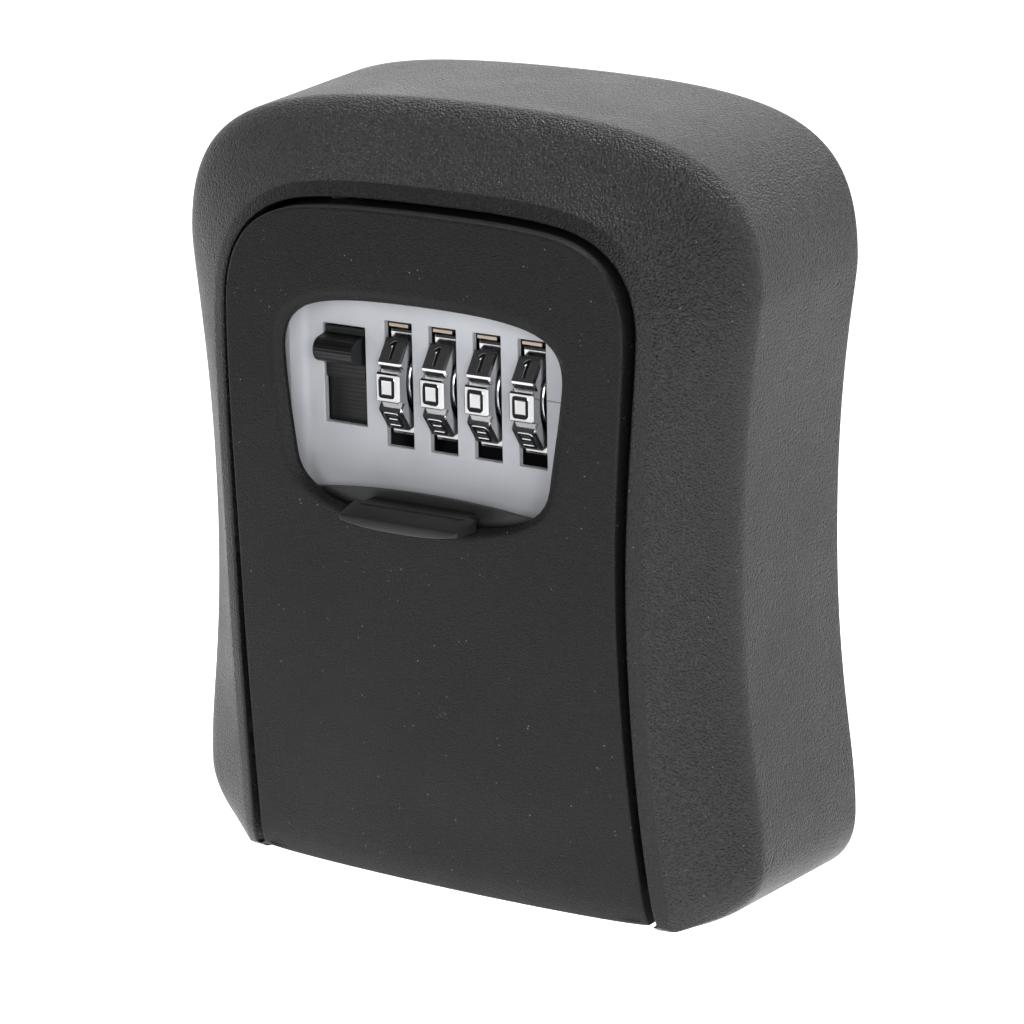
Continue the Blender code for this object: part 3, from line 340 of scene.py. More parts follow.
def arc_depth(front_y):
    """The depth of the arc through front_y that shares its centre with the face's upright curve."""
    radius = FACE_Y + FACE_RADIUS - front_y

    def depth(x, z):
        return FACE_Y + FACE_RADIUS - math.sqrt(radius**2 - (z - FACE_Z) ** 2)

    return depth


def rim_depth(behind=0.0):
    def depth(x, z):
        return RIM_Y + behind + (z - RIM_Z) ** 2 / (2 * RIM_RADIUS) + tuck(z)

    return depth


def ring_at(outline, y):
    """The outline in space, at one depth or at a depth that depends on the place."""
    return [(x, y(x, z) if callable(y) else y, z) for x, z in outline]


def bend(first, corner, last, steps):
    """Rings that round the corner between a first and a last ring."""
    rings = []
    for step in range(1, steps + 1):
        share = step / (steps + 1)
        rings.append(between(between(first, corner, share), between(corner, last, share), share))
    return [first, *rings, last]


# ---------------------------------------------------------------- meshes


def mesh_from(bm):
    """A mesh in metres, with its faces turned outwards."""
    bmesh.ops.recalc_face_normals(bm, faces=bm.faces)
    bmesh.ops.scale(bm, vec=(MM, MM, MM), verts=bm.verts)
    mesh = bpy.data.meshes.new("mesh")
    bm.to_mesh(mesh)
    bm.free()
    return mesh


def skin_rows(bm, rows):
    """Four-sided faces between each row of vertices and the next."""
    for near, far in zip(rows, rows[1:]):
        for i in range(len(near)):
            j = (i + 1) % len(near)
            bm.faces.new((near[i], near[j], far[j], far[i]))


def loft(rings, closed=False):
    """A skin through rings; closed joins the last ring to the first, otherwise both ends are capped."""
    bm = bmesh.new()
    rows = [[bm.verts.new(point) for point in ring] for ring in rings]
    skin_rows(bm, rows + rows[:1] if closed else rows)
    if not closed:
        bm.faces.new(rows[0][::-1])
        bm.faces.new(rows[-1])
    return mesh_from(bm)


def prism(outline, front, back):
    return loft([ring_at(outline, front), ring_at(outline, back)])


def side_prism(profile, left, right):
    """A prism along X from (y, z) points."""
    return loft([[(x, y, z) for y, z in profile] for x in (left, right)])


def box(low, high):
    bm = bmesh.new()
    bmesh.ops.create_cube(bm, size=1.0)
    bmesh.ops.scale(bm, vec=[b - a for a, b in zip(low, high)], verts=bm.verts)
    bmesh.ops.translate(bm, vec=[(a + b) / 2 for a, b in zip(low, high)], verts=bm.verts)
    return mesh_from(bm)


def rod(radius, start, end, sides=48):
    start, end = Vector(start), Vector(end)
    along = end - start
    turn = Vector((0, 0, 1)).rotation_difference(along.normalized()).to_matrix().to_4x4()
    bm = bmesh.new()
    bmesh.ops.create_cone(
        bm,
        cap_ends=True,
        segments=sides,
        radius1=radius,
        radius2=radius,
        depth=along.length,
        matrix=Matrix.Translation((start + end) / 2) @ turn,
    )
    return mesh_from(bm)


def join(mesh):
    return "UNION", mesh


def cut(mesh):
    return "DIFFERENCE", mesh


def combined(mesh, steps):
    """The mesh after a list of (operation, other closed mesh) Booleans."""
    target = bpy.data.objects.new("target", mesh)
    bpy.context.scene.collection.objects.link(target)
    helpers = []
    for operation, other in steps:
        helper = bpy.data.objects.new("helper", other)
        bpy.context.scene.collection.objects.link(helper)
        helpers.append(helper)
        modifier = target.modifiers.new("combine", "BOOLEAN")
        modifier.operation = operation
        modifier.object = helper
        modifier.solver = "MANIFOLD"
    bpy.context.view_layer.update()
    result = bpy.data.meshes.new_from_object(target.evaluated_get(bpy.context.evaluated_depsgraph_get()))
    for item in [target, *helpers]:
        bpy.data.objects.remove(item)
    return result


def piece(name, mesh, materials, body, replaced=(), sharp=32):
    """A shown object, smooth except at edges sharper than an angle in degrees, on a CAD body."""
    mesh.name = name
    for material in materials[len(mesh.materials) :]:
        mesh.materials.append(material)
    mesh.materials[0] = materials[0]
    mesh.polygons.foreach_set("use_smooth", [True] * len(mesh.polygons))
    mesh.set_sharp_from_angle(angle=math.radians(sharp))
    item = bpy.data.objects.new(name, mesh)
    bpy.context.scene.collection.objects.link(item)
    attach(item, body)
    if replaced:
        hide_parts(*replaced)


# ---------------------------------------------------------------- materials


def ramp_stops(node, stops):
    """Fills a colour ramp from (place, grey or colour) pairs."""
    ramp = node.color_ramp
    while len(ramp.elements) < len(stops):
        ramp.elements.new(0.5)
    for element, (place, colour) in zip(ramp.elements, stops):
        element.position = place
        if isinstance(colour, (int, float)):
            colour = (colour, colour, colour)
        element.color = (*colour, 1.0)


class Graph:
    """Small helper to build a material's node tree."""

    def __init__(self, name):
        self.material = bpy.data.materials.new(name)
        self.material.use_nodes = True
        self.tree = self.material.node_tree
        self.shader = self.tree.nodes["Principled BSDF"]
        self.place = self.tree.nodes.new("ShaderNodeTexCoord").outputs["Object"]

    def fill(self, socket, value):
        """Sets a socket to a number or colour, or links it to another node's output."""
        if isinstance(value, (int, float)):
            socket.default_value = value
        elif isinstance(value, tuple):
            socket.default_value = (*value, 1.0)
        else:
            self.tree.links.new(value, socket)

    def noise(self, scale, detail=2.0, rough=0.5):
        node = self.tree.nodes.new("ShaderNodeTexNoise")
        node.inputs["Scale"].default_value = scale
        node.inputs["Detail"].default_value = detail
        node.inputs["Roughness"].default_value = rough
        self.fill(node.inputs["Vector"], self.place)
        return node.outputs["Fac"]

    def cells(self, scale):
        node = self.tree.nodes.new("ShaderNodeTexVoronoi")
        node.inputs["Scale"].default_value = scale
        self.fill(node.inputs["Vector"], self.place)
        return node.outputs["Distance"]

    def ramp(self, value, stops):
        node = self.tree.nodes.new("ShaderNodeValToRGB")
        ramp_stops(node, stops)
        self.fill(node.inputs["Fac"], value)
        return node.outputs["Color"]

    def maths(self, operation, first, second):
        node = self.tree.nodes.new("ShaderNodeMath")
        node.operation = operation
        self.fill(node.inputs[0], first)
        self.fill(node.inputs[1], second)
        return node.outputs[0]

    def mix(self, share, first, second):
        node = self.tree.nodes.new("ShaderNodeMix")
        node.data_type = "RGBA"
        for index, value in ((0, share), (6, first), (7, second)):
            self.fill(node.inputs[index], value)
        return node.outputs[2]

    def bump(self, height, distance, strength=1.0):
        node = self.tree.nodes.new("ShaderNodeBump")
        node.inputs["Distance"].default_value = distance * MM
        node.inputs["Strength"].default_value = strength
        self.fill(node.inputs["Height"], height)
        return node.outputs["Normal"]

    def finish(self, colour, roughness, metallic=0.0, normal=None, specular=0.5):
        self.fill(self.shader.inputs["Base Color"], colour)
        self.fill(self.shader.inputs["Roughness"], roughness)
        if normal:
            self.fill(self.shader.inputs["Normal"], normal)
        self.shader.inputs["Metallic"].default_value = metallic
        self.shader.inputs["Specular IOR Level"].default_value = specular
        return self.material


def powder_coat(name, dark, light, grain, depth, rough, specular):
    """Textured powder coating: rounded grain, small pale specks and rubbed patches."""
    g = Graph(name)
    bumps = g.cells(grain)
    fine = g.noise(grain * 0.9, 2.0, 0.65)
    height = g.maths("ADD", g.maths("MULTIPLY", bumps, -0.8), fine)
    patches = g.noise(60.0, 4.0, 0.6)
    colour = g.mix(g.ramp(fine, ((0.40, 0.0), (0.72, 1.0))), dark, light)
    speck = g.ramp(g.cells(1300.0), ((0.0, 1.0), (0.11, 1.0), (0.14, 0.0)))
    rare = g.ramp(g.noise(420.0, 1.0), ((0.63, 0.0), (0.69, 1.0)))
    colour = g.mix(g.maths("MULTIPLY", speck, rare), colour, (0.16, 0.16, 0.165))
    gloss = g.ramp(patches, ((0.3, rough - 0.05), (0.7, rough + 0.06)))
    return g.finish(colour, gloss, 0.0, g.bump(height, depth), specular)


def moulded(name, colour, rough, grain, depth, specular=0.5):
    """Moulded plastic: a fine matte grain and slightly uneven gloss."""
    g = Graph(name)
    fine = g.noise(grain, 3.0, 0.6)
    broad = g.noise(90.0, 3.0)
    low = tuple(c * 0.93 for c in colour)
    high = tuple(min(c * 1.06, 1.0) for c in colour)
    tint = g.mix(g.ramp(broad, ((0.35, 0.0), (0.65, 1.0))), low, high)
    gloss = g.ramp(fine, ((0.3, rough - 0.04), (0.7, rough + 0.05)))
    return g.finish(tint, gloss, 0.0, g.bump(fine, depth, 0.6), specular)


def metal(name, colour, rough, depth=0.008, scale=900.0):
    """Bare or plated metal with a fine uneven surface and a slightly cloudy colour."""
    g = Graph(name)
    fine = g.noise(scale, 4.0, 0.65)
    cloud = g.noise(70.0, 3.0)
    low = tuple(c * 0.86 for c in colour)
    tint = g.mix(g.ramp(cloud, ((0.35, 0.0), (0.7, 1.0))), low, colour)
    gloss = g.ramp(fine, ((0.3, max(rough - 0.05, 0.02)), (0.75, rough + 0.08)))
    return g.finish(tint, gloss, 1.0, g.bump(fine, depth, 0.7))


def make_coats():
    return {
        "cast_shell": powder_coat(
            "cast_shell",
            dark=(0.004, 0.004, 0.0043),
            light=(0.016, 0.016, 0.017),
            grain=2900.0,
            depth=0.30,
            rough=0.37,
            specular=0.30,
        ),
        "door_cast": powder_coat(
            "door_cast",
            dark=(0.003, 0.003, 0.0032),
            light=(0.009, 0.009, 0.0095),
            grain=4200.0,
            depth=0.09,
            rough=0.47,
            specular=0.16,
        ),
        # the facet round the door: the shell's coat with finer grain and less gloss, made darker as painted
        # shade
        "rim_coat_painted_shade": powder_coat(
            "rim_coat_painted_shade",
            dark=(0.0035, 0.0035, 0.0037),
            light=(0.012, 0.012, 0.0125),
            grain=3200.0,
            depth=0.13,
            rough=0.42,
            specular=0.23,
        ),
    }


def make_plastics():
    dark, ink = (0.009, 0.009, 0.0095), (0.002, 0.002, 0.002)
    grey, black, inside = (0.30, 0.309, 0.328), (0.004, 0.004, 0.0045), (0.016, 0.016, 0.017)
    return {
        "shutter_plastic": moulded("shutter_plastic", dark, 0.42, grain=1800.0, depth=0.02, specular=0.34),
        "plate_plastic": moulded("plate_plastic", grey, 0.55, grain=2600.0, depth=0.006, specular=0.35),
        "slider_plastic": moulded("slider_plastic", black, 0.36, grain=2000.0, depth=0.01, specular=0.28),
        "case_plastic": moulded("case_plastic", inside, 0.5, grain=1500.0, depth=0.02),
        "ink": moulded("digit_ink", ink, 0.5, grain=3000.0, depth=0.004, specular=0.15),
    }


def make_metals():
    return {
        "steel": metal("steel", (0.60, 0.60, 0.62), 0.28),
        "chrome": metal("chrome", (0.55, 0.55, 0.56), 0.15, depth=0.009, scale=1500.0),
        "zinc": metal("zinc", (0.42, 0.42, 0.44), 0.38),
        "bronze": metal("bronze", (0.38, 0.31, 0.26), 0.34),
        "brass": metal("brass", (0.62, 0.47, 0.20), 0.30),
    }


# ---------------------------------------------------------------- shell


def shell_skin():
    """The housing's outside as one skin: back edge, sides, ridge, band, crease, facet and mouth."""
    start = ring_at(body_outline(), -BACK_CHAMFER)
    ridge = ring_at(body_outline(SIDE_DRAFT, RIDGE_SOFTNESS), RIDGE_Y)
    crease = ring_at(mouth_outline(CREASE_WIDTH, CREASE_LOW), rim_depth(CREASE_DROP))
    soft_rim = ring_at(mouth_outline(RIM_SOFT), rim_depth(RIM_SOFT_DROP))
    rim = ring_at(mouth_outline(), rim_depth())
    inner = ring_at(mouth_outline(-RIM_EDGE), rim_depth(RIM_EDGE_DEPTH))
    floor = ring_at(mouth_outline(-RIM_TRIM), MOUTH_FLOOR_Y)
    side_end = between(ridge, start, RIDGE_ROUND / -RIDGE_Y)
    band_start = between(ridge, crease, BAND_START)
    band_end = between(crease, ridge, BAND_END)
    facet_start = between(crease, rim, FACET_START)
    back = ring_at(body_outline(BACK_CHAMFER), 0.0)
    rings = [back, ring_at(body_outline(BACK_ROUND), -BACK_ROUND), start]
    rings += [between(start, side_end, share) for share in SIDE_SHARES]
    rings += bend(side_end, ridge, band_start, 9)
    rings += [between(band_start, band_end, share) for share in BAND_SHARES]
    rings += bend(band_end, crease, facet_start, 5)
    rings += bend(soft_rim, rim, inner, 3)
    return loft([*rings, floor])


def hollow():
    """The space inside the housing, less the two bosses that hold the hinge pin."""
    inside = loft(
        [
            ring_at(body_outline(WALL), -BACK_WALL),
            ring_at(body_outline(WALL + HOLLOW_DRAFT, RIDGE_SOFTNESS), RIDGE_Y + HOLLOW_START),
            ring_at(mouth_outline(LIP_WIDTH, -WALL), rim_depth(LIP)),
        ]
    )
    bosses = []
    for side in (-1, 1):
        near, far = side * (DOOR_FOOT + BOSS_INSET), side * BOSS_OUTER_X
        low = (min(near, far), PIN_Y - BOSS_FRONT, BODY_BOTTOM)
        high = (max(near, far), PIN_Y + BOSS_REACH, PIN_Z + BOSS_REACH)
        bosses.append(cut(box(low, high)))
    return combined(inside, bosses)


def mark_facet(mesh):
    """Gives the facet round the door the second coat: smoother, and darker as painted shade."""
    outline = mouth_outline(FACET_WIDTH, CREASE_LOW)
    depth = rim_depth(FACET_DEPTH)
    for face in mesh.polygons:
        x, y, z = face.center / MM
        if y < depth(x, z) and encloses(outline, x, z):
            face.material_index = 1


def build_shell(materials):
    mouth = prism(mouth_outline(drop=CUT_BELOW), CUT_FRONT, MOUTH_BACK_Y)
    reach = BOSS_OUTER_X - PIN_HOLE_END
    pin_hole = rod(PIN_RADIUS + GAP, (-reach, PIN_Y, PIN_Z), (reach, PIN_Y, PIN_Z))
    cuts = [cut(mouth), cut(hollow()), cut(pin_hole)]
    for x in (-WALL_HOLE_X, WALL_HOLE_X):
        for z in (-WALL_HOLE_Z, WALL_HOLE_Z):
            cuts.append(cut(rod(WALL_HOLE_RADIUS, (x, -WALL_HOLE_DEPTH, z), (x, CUT_PAST, z))))
    mesh = combined(shell_skin(), cuts)
    mark_facet(mesh)
    coats = [materials["cast_shell"], materials["rim_coat_painted_shade"]]
    piece("shell", mesh, coats, "housing", ("body_shell",), sharp=28)


# ---------------------------------------------------------------- door


def window_ring(grow, y, guide):
    return ring_at(matched(window_outline(grow), guide), y)


def rounded_edge():
    """Rings over the door's rounded front edge, a quarter of a circle."""
    rings = []
    for degrees in range(0, 91, 15):
        angle = math.radians(degrees)
        inset = DOOR_ROUND * (1 - math.sin(angle))
        rings.append(ring_at(even_door(-inset), face_depth(DOOR_ROUND * (1 - math.cos(angle)))))
    return rings


def door_skin():
    """The door as one closed skin: chamfered window, domed face, round edge, side wall and inside."""
    guide = door_outline()
    lip_back = window_ring(-WINDOW_CHAMFER, arc_depth(DOOR_INNER_Y), guide)
    lip = window_ring(-WINDOW_CHAMFER, face_depth(WINDOW_CHAMFER_DEPTH), guide)
    brow = window_ring(0.0, face_depth(), guide)
    outside = matched(window_outline(BROW_WIDTH), guide)
    edge, inner = even_door(-DOOR_ROUND), even_door(-DOOR_SIDE_WALL)
    back_edge = matched(window_outline(-WINDOW_CHAMFER), guide)
    rings = [lip_back, between(lip_back, lip, 0.85)]
    rings += bend(between(lip_back, lip, 0.95), lip, between(lip, brow, 0.12), 2)
    rings += bend(between(lip, brow, 0.6), brow, ring_at(outside, face_depth()), 5)
    rings += [ring_at(between(outside, edge, share), face_depth()) for share in FACE_SHARES]
    rings += rounded_edge()
    rings.append(ring_at(guide, DOOR_BACK_Y - DOOR_BACK_BEVEL))
    rings.append(ring_at(even_door(-DOOR_BACK_BEVEL), DOOR_BACK_Y))
    rings.append(ring_at(inner, DOOR_BACK_Y))
    rings.append(ring_at(inner, arc_depth(DOOR_INNER_Y + DOOR_INNER_BEVEL)))
    for share in INNER_SHARES:
        rings.append(ring_at(between(inner, back_edge, share), arc_depth(DOOR_INNER_Y)))
    return loft(rings, closed=True)


def hinge_barrel():
    """The bored barrel along the door's lower edge, with the block that joins it to the door."""
    barrel = rod(BARREL_RADIUS, (-BARREL_HALF, PIN_Y, PIN_Z), (BARREL_HALF, PIN_Y, PIN_Z), sides=64)
    half, edge = BARREL_HALF - WEB_INSET, BARREL_RADIUS
    low, high = (-half, PIN_Y - edge + WEB_FRONT, PIN_Z - edge + WEB_BOTTOM), (half, PIN_Y, PIN_Z + WEB_TOP)
    bore = rod(PIN_RADIUS + GAP, (-CUT_SIDE, PIN_Y, PIN_Z), (CUT_SIDE, PIN_Y, PIN_Z), sides=40)
    return combined(barrel, [join(box(low, high)), cut(bore)])


def screw_boss(x, z):
    start = arc_depth(DOOR_INNER_Y)(x, z) + BOSS_START
    boss = rod(BOSS_RADIUS, (x, start, z), (x, EAR_FRONT - GAP, z))
    tip, back = (x, SCREW_TIP - PILOT_TIP, z), (x, EAR_FRONT + PILOT_BACK, z)
    pilot = rod(SCREW_SHANK + GAP, tip, back, sides=32)
    return combined(boss, [cut(pilot)])


def build_door(materials):
    cast = [materials["door_cast"]]
    piece("door_face", door_skin(), cast, "door", ("door_panel",), sharp=30)
    piece("door_barrel", hinge_barrel(), cast, "door", ())
    places = [(x, z) for x in (-SCREW_X, SCREW_X) for z in SCREW_ZS]
    for number, (x, z) in enumerate(places, 1):
        piece(f"door_boss_{number}", screw_boss(x, z), cast, "door", ())


# ---------------------------------------------------------------- shutter


def shutter_edge(x):
    """The height of the shutter's arched upper edge."""
    share = min(abs(x) / SHUTTER_HALF, 1.0)
    return SHUTTER_TOP - SHUTTER_ARCH * share**2.1


def shutter_grid(bm, front_y):
    """Rows of vertices over one side of the shutter's curved plate, from the bottom up."""
    depth = arc_depth(front_y)
    grid = []
    for row in range(SHUTTER_ROWS + 1):
        line = []
        for column in range(SHUTTER_COLUMNS + 1):
            x = SHUTTER_HALF * (2 * column / SHUTTER_COLUMNS - 1)
            z = SHUTTER_BOTTOM + (shutter_edge(x) - SHUTTER_BOTTOM) * row / SHUTTER_ROWS
            line.append(bm.verts.new((x, depth(x, z), z)))
        grid.append(line)
    return grid


def strip(bm, near, far):
    """Four-sided faces between two open lines of vertices."""
    for i in range(len(near) - 1):
        bm.faces.new((near[i], near[i + 1], far[i + 1], far[i]))


def shutter_plate():
    bm = bmesh.new()
    front, rear = (shutter_grid(bm, y) for y in (SHUTTER_Y, SHUTTER_Y + SHUTTER_THICK))
    for grid in (front, rear):
        for low, high in zip(grid, grid[1:]):
            strip(bm, low, high)
    for end in (0, -1):
        strip(bm, [line[end] for line in front], [line[end] for line in rear])
    for end in (0, -1):
        strip(bm, front[end], rear[end])
    return mesh_from(bm)


def tab_section(half, top, bottom, sag):
    """A tongue's cross-section: an almost straight top and a bowed underside."""
    points = []
    for i in range(TAB_STEPS + 1):
        t = -1 + 2 * i / TAB_STEPS
        points.append((half * math.sin(t * math.pi / 2), top - TAB_CROWN * abs(t) ** 6))
    for i in range(1, TAB_STEPS):
        t = 1 - 2 * i / TAB_STEPS
        share = 1 - abs(math.sin(t * math.pi / 2)) ** 2.6
        points.append((half * math.sin(t * math.pi / 2), bottom + sag - sag * share))
    return points


def tab_mesh():
    """The grip tab, which thins and narrows towards its rounded front."""
    root, front = FACE_Y - 0.3, FACE_Y - TAB_REACH
    sections = (  # depth, narrower, lower top, higher bottom, sag
        (root, 0.0, 0.0, 0.0, 0.9),
        (root - 1.2, 0.1, 0.25, 0.1, 0.9),
        (front + 0.35, 0.35, 0.8, 0.22, 0.9),
        (front + 0.1, 0.45, 0.92, 0.3, 0.85),
        (front, 0.65, 1.08, 0.45, 0.75),
    )
    rings = []
    for y, narrow, fall, lift, sag in sections:
        section = tab_section(TAB_HALF - narrow, TAB_TOP - fall, TAB_BOTTOM + lift, sag)
        rings.append(ring_at(section, y))
    return loft(rings)


def build_shutter(materials):
    neck = rounded_rectangle(TAB_HALF - NECK_INSET, NECK_BOTTOM, TAB_TOP, NECK_ROUND)
    neck_back = SHUTTER_Y + SHUTTER_THICK - OVERLAP
    steps = [join(prism(neck, FACE_Y - 1.0, neck_back)), join(tab_mesh())]
    mesh = combined(shutter_plate(), steps)
    dark = [materials["shutter_plastic"]]
    piece("shutter", mesh, dark, "shutter", ("weather_shutter",), sharp=35)


# ---------------------------------------------------------------- dial plate


def slot_cutter(left, right, bottom, top):
    """A slot with a small bevel round its front edge."""
    middle, half = (left + right) / 2, (right - left) / 2
    low, high = bottom - SLOT_BEVEL, top + SLOT_BEVEL
    wide = rounded_rectangle(half + SLOT_BEVEL, low, high, SLOT_MOUTH_ROUND, middle, steps=3)
    narrow = rounded_rectangle(half, bottom, top, SLOT_ROUND, middle, steps=3)
    rings = [
        ring_at(wide, PLATE_Y - SLOT_CUT_FRONT),
        ring_at(wide, PLATE_Y - 0.001),
        ring_at(narrow, PLATE_Y + SLOT_BEVEL),
        ring_at(narrow, PLATE_Y + SLOT_CUT_BACK),
    ]
    return loft(rings)


def tub_outline(grow, radius):
    return rounded_rectangle(TUB_HALF + grow, TUB_BOTTOM - grow, TUB_TOP + grow, radius)


def tub_well():
    """The tub's inside: flared walls that round into a flat floor."""
    mouth = tub_outline(TUB_FLARE, TUB_MOUTH_ROUND)
    top, base = ring_at(mouth, FLANGE_Y), ring_at(tub_outline(0.0, TUB_FLOOR_ROUND), PLATE_Y)
    floor = ring_at(tub_outline(-TUB_FILLET, TUB_FLOOR_ROUND - 1), PLATE_Y)
    rings = [ring_at(mouth, FLANGE_Y - 0.5), top, between(top, base, 0.2)]
    rings += bend(between(top, base, 0.5), base, floor, 5)
    return loft(rings)


def index_marks():
    """The left and right ends of the small index notches beside the dials."""
    marks = []
    for i in range(DIAL_COUNT):
        right = DIAL_X + i * DIAL_PITCH - SLOT_WIDTH / 2 - MARK_GAP
        marks.append((right - MARK_LENGTH, right))
    last = DIAL_X + (DIAL_COUNT - 1) * DIAL_PITCH + SLOT_WIDTH / 2 + MARK_GAP
    return marks + [(last, last + LAST_MARK_LENGTH)]


def build_plate(materials):
    flange = rounded_rectangle(FLANGE_HALF, FLANGE_BOTTOM, FLANGE_TOP, FLANGE_ROUND)
    plain = prism(flange, FLANGE_Y, FLANGE_Y + FLANGE_THICK)
    outside = tub_outline(TUB_WALL, TUB_MOUTH_ROUND)
    block = prism(outside, FLANGE_Y + FLANGE_THICK - OVERLAP, PLATE_Y + PLATE_THICK)
    steps = [join(block), cut(tub_well())]
    for i in range(DIAL_COUNT):
        middle, half = DIAL_X + i * DIAL_PITCH, SLOT_WIDTH / 2
        steps.append(cut(slot_cutter(middle - half, middle + half, SLOT_BOTTOM, SLOT_TOP)))
    steps.append(cut(slot_cutter(SLIDER_LEFT, SLIDER_RIGHT, SLIDER_SLOT_BOTTOM, SLIDER_SLOT_TOP)))
    middle_z = AXLE_Z + MARK_RISE
    notch = [
        (PLATE_Y - MARK_OUT, middle_z + MARK_HALF),
        (PLATE_Y + MARK_DEPTH, middle_z),
        (PLATE_Y - MARK_OUT, middle_z - MARK_HALF),
    ]
    for left, right in index_marks():
        steps.append(cut(side_prism(notch, left, right)))
    mesh = combined(plain, steps)
    grey = [materials["plate_plastic"]]
    piece("dial_plate_skin", mesh, grey, "door", ("dial_plate",), sharp=25)


# ---------------------------------------------------------------- dials


def block_angle(digit):
    """Where a digit's block stands: 0 faces the reader and 1 is above it."""
    return math.radians(360 / DIGITS * digit)


def block_point(angle, x, tangent, height):
    """A point on a dial, from its place on a digit's flat."""
    y = -(height * math.cos(angle) - tangent * math.sin(angle))
    z = height * math.sin(angle) + tangent * math.cos(angle)
    return (x, y, z)


def rim_spots():
    """Round the rim, (angle, place along the flat, height): ten blocks with a groove after each."""
    spots = []
    for digit in range(DIGITS):
        angle = block_angle(digit)
        spots.append((angle, -BLOCK_HALF, FLAT - BLOCK_BEVEL))
        spots += [(angle, tangent, FLAT) for tangent in FLAT_SPOTS]
        spots.append((angle, BLOCK_HALF, FLAT - BLOCK_BEVEL))
        spots.append((angle + math.pi / DIGITS, 0.0, GROOVE_RADIUS))
    return spots


def dial_rings():
    """Rings from the bore over the left flank, across the digits and down the right flank."""
    outer = rim_spots()
    lower = [(a, t * BLOCK_TAPER, h - BLOCK_SHOULDER) for a, t, h in outer]
    angles = [a + math.atan2(t, h) for a, t, h in outer]

    def round_ring(x, radius):
        return [(x, -radius * math.cos(a), radius * math.sin(a)) for a in angles]

    def rim_ring(x, spots):
        return [block_point(a, x, t, h) for a, t, h in spots]

    half = DIAL_WIDTH / 2
    rings = [round_ring(inset - half, radius) for radius, inset in FLANK]
    rings.append(rim_ring(-half, lower))
    rings.append(rim_ring(-half + FLANK_BEVEL, outer))
    rings.append(rim_ring(half - FLANK_BEVEL, outer))
    rings.append(rim_ring(half, lower))
    rings += [round_ring(half - inset, radius) for radius, inset in reversed(FLANK)]
    return rings


def rounded_path(points, closed):
    """A stroke's path with its corners rounded."""
    path = []
    count = len(points)
    for i, point in enumerate(points):
        corner = Vector(point)
        if not closed and i in (0, count - 1):
            path.append(corner)
            continue
        before = (Vector(points[i - 1]) - corner).normalized() * STROKE_ROUND
        after = (Vector(points[(i + 1) % count]) - corner).normalized() * STROKE_ROUND
        for step in range(5):
            share = step / 4
            near, far = corner + before * (1 - share), corner + after * share
            path.append(near * (1 - share) + far * share)
    return path


def sideways(path, i, closed):
    """The direction across a path at one of its points, longer where the path bends."""
    before = path[i - 1] if closed or i else None
    after = path[(i + 1) % len(path)] if closed or i < len(path) - 1 else None
    ahead = (after - path[i]).normalized() if after else (path[i] - before).normalized()
    behind = (path[i] - before).normalized() if before else ahead
    along = (ahead + behind).normalized()
    return Vector((-along.y, along.x)) / max(along.dot(ahead), MITRE_LIMIT)


def add_stroke(bm, points, angle):
    """A raised stroke on a digit's flat: bevelled chrome sides and an inked top."""
    closed = points[-1] is None
    path = rounded_path(points[:-1] if closed else points, closed)
    rows = []
    for i, point in enumerate(path):
        side = sideways(path, i, closed)
        row = []
        for offset, rise in STROKE_SECTION:
            spot = point + side * (offset * STROKE / 2)
            height = FLAT - STROKE_SINK + rise * STROKE_RISE
            row.append(bm.verts.new(block_point(angle, spot.x, spot.y, height)))
        rows.append(row)
    for near, far in zip(rows, rows[1:] + rows[:1] if closed else rows[1:]):
        for k in range(4):
            face = bm.faces.new((near[k], near[(k + 1) % 4], far[(k + 1) % 4], far[k]))
            face.material_index = 1 if k == 1 else 0
    if not closed:
        bm.faces.new(rows[0])
        bm.faces.new(rows[-1][::-1])


def dial_mesh():
    bm = bmesh.new()
    rows = [[bm.verts.new(point) for point in ring] for ring in dial_rings()]
    skin_rows(bm, rows + rows[:1])
    for digit, strokes in GLYPH.items():
        for points in strokes:
            add_stroke(bm, points, block_angle(digit))
    return mesh_from(bm)


def build_dials(materials):
    pair = [materials["chrome"], materials["ink"]]
    for i in range(DIAL_COUNT):
        mesh = dial_mesh()
        middle = DIAL_X + i * DIAL_PITCH
        mesh.transform(Matrix.Translation((middle * MM, AXLE_Y * MM, AXLE_Z * MM)))
        node = f"dial_{i + 1}"
        piece(f"{node}_skin", mesh, pair, node, (node,), sharp=20)


# ---------------------------------------------------------------- slider


def knob_profile():
    """The half-round knob's front, from its top to its bottom, with a fine ripple."""
    points = []
    for step in range(KNOB_STEPS + 1):
        turn = math.radians(90 - 180 * step / KNOB_STEPS)
        reach = KNOB_HALF_HEIGHT - KNOB_RIPPLE * (step % 2)
        nose = KNOB_FRONT + KNOB_HALF_HEIGHT - reach * math.cos(turn)
        points.append((nose, KNOB_Z + reach * math.sin(turn)))
    return points


def slider_profile():
    """The slider's front seen from the side: a ribbed pad with the knob, and the ribbed plate below."""
    z = SLIDER_SLOT_TOP - GAP
    points = [(SLIDER_Y + PROFILE_BACK, z)]
    while z > SLIDER_BOTTOM + 1.0:
        if abs(z - KNOB_Z) < KNOB_HALF_HEIGHT + GAP:
            points += knob_profile()
            z = KNOB_Z - KNOB_HALF_HEIGHT - BELOW_KNOB
            continue
        front = PLATE_Y + PAD_SINK if z - RIB_PITCH > PAD_BOTTOM else SLIDER_Y
        points.append((front + RIB_DEPTH, z))
        points.append((front, z - RIB_PITCH * 0.3))
        points.append((front, z - RIB_PITCH * 0.7))
        z -= RIB_PITCH
    points.append((SLIDER_Y + RIB_DEPTH, SLIDER_BOTTOM + PROFILE_END))
    points.append((SLIDER_Y + PROFILE_BACK, SLIDER_BOTTOM + PROFILE_END))
    return points


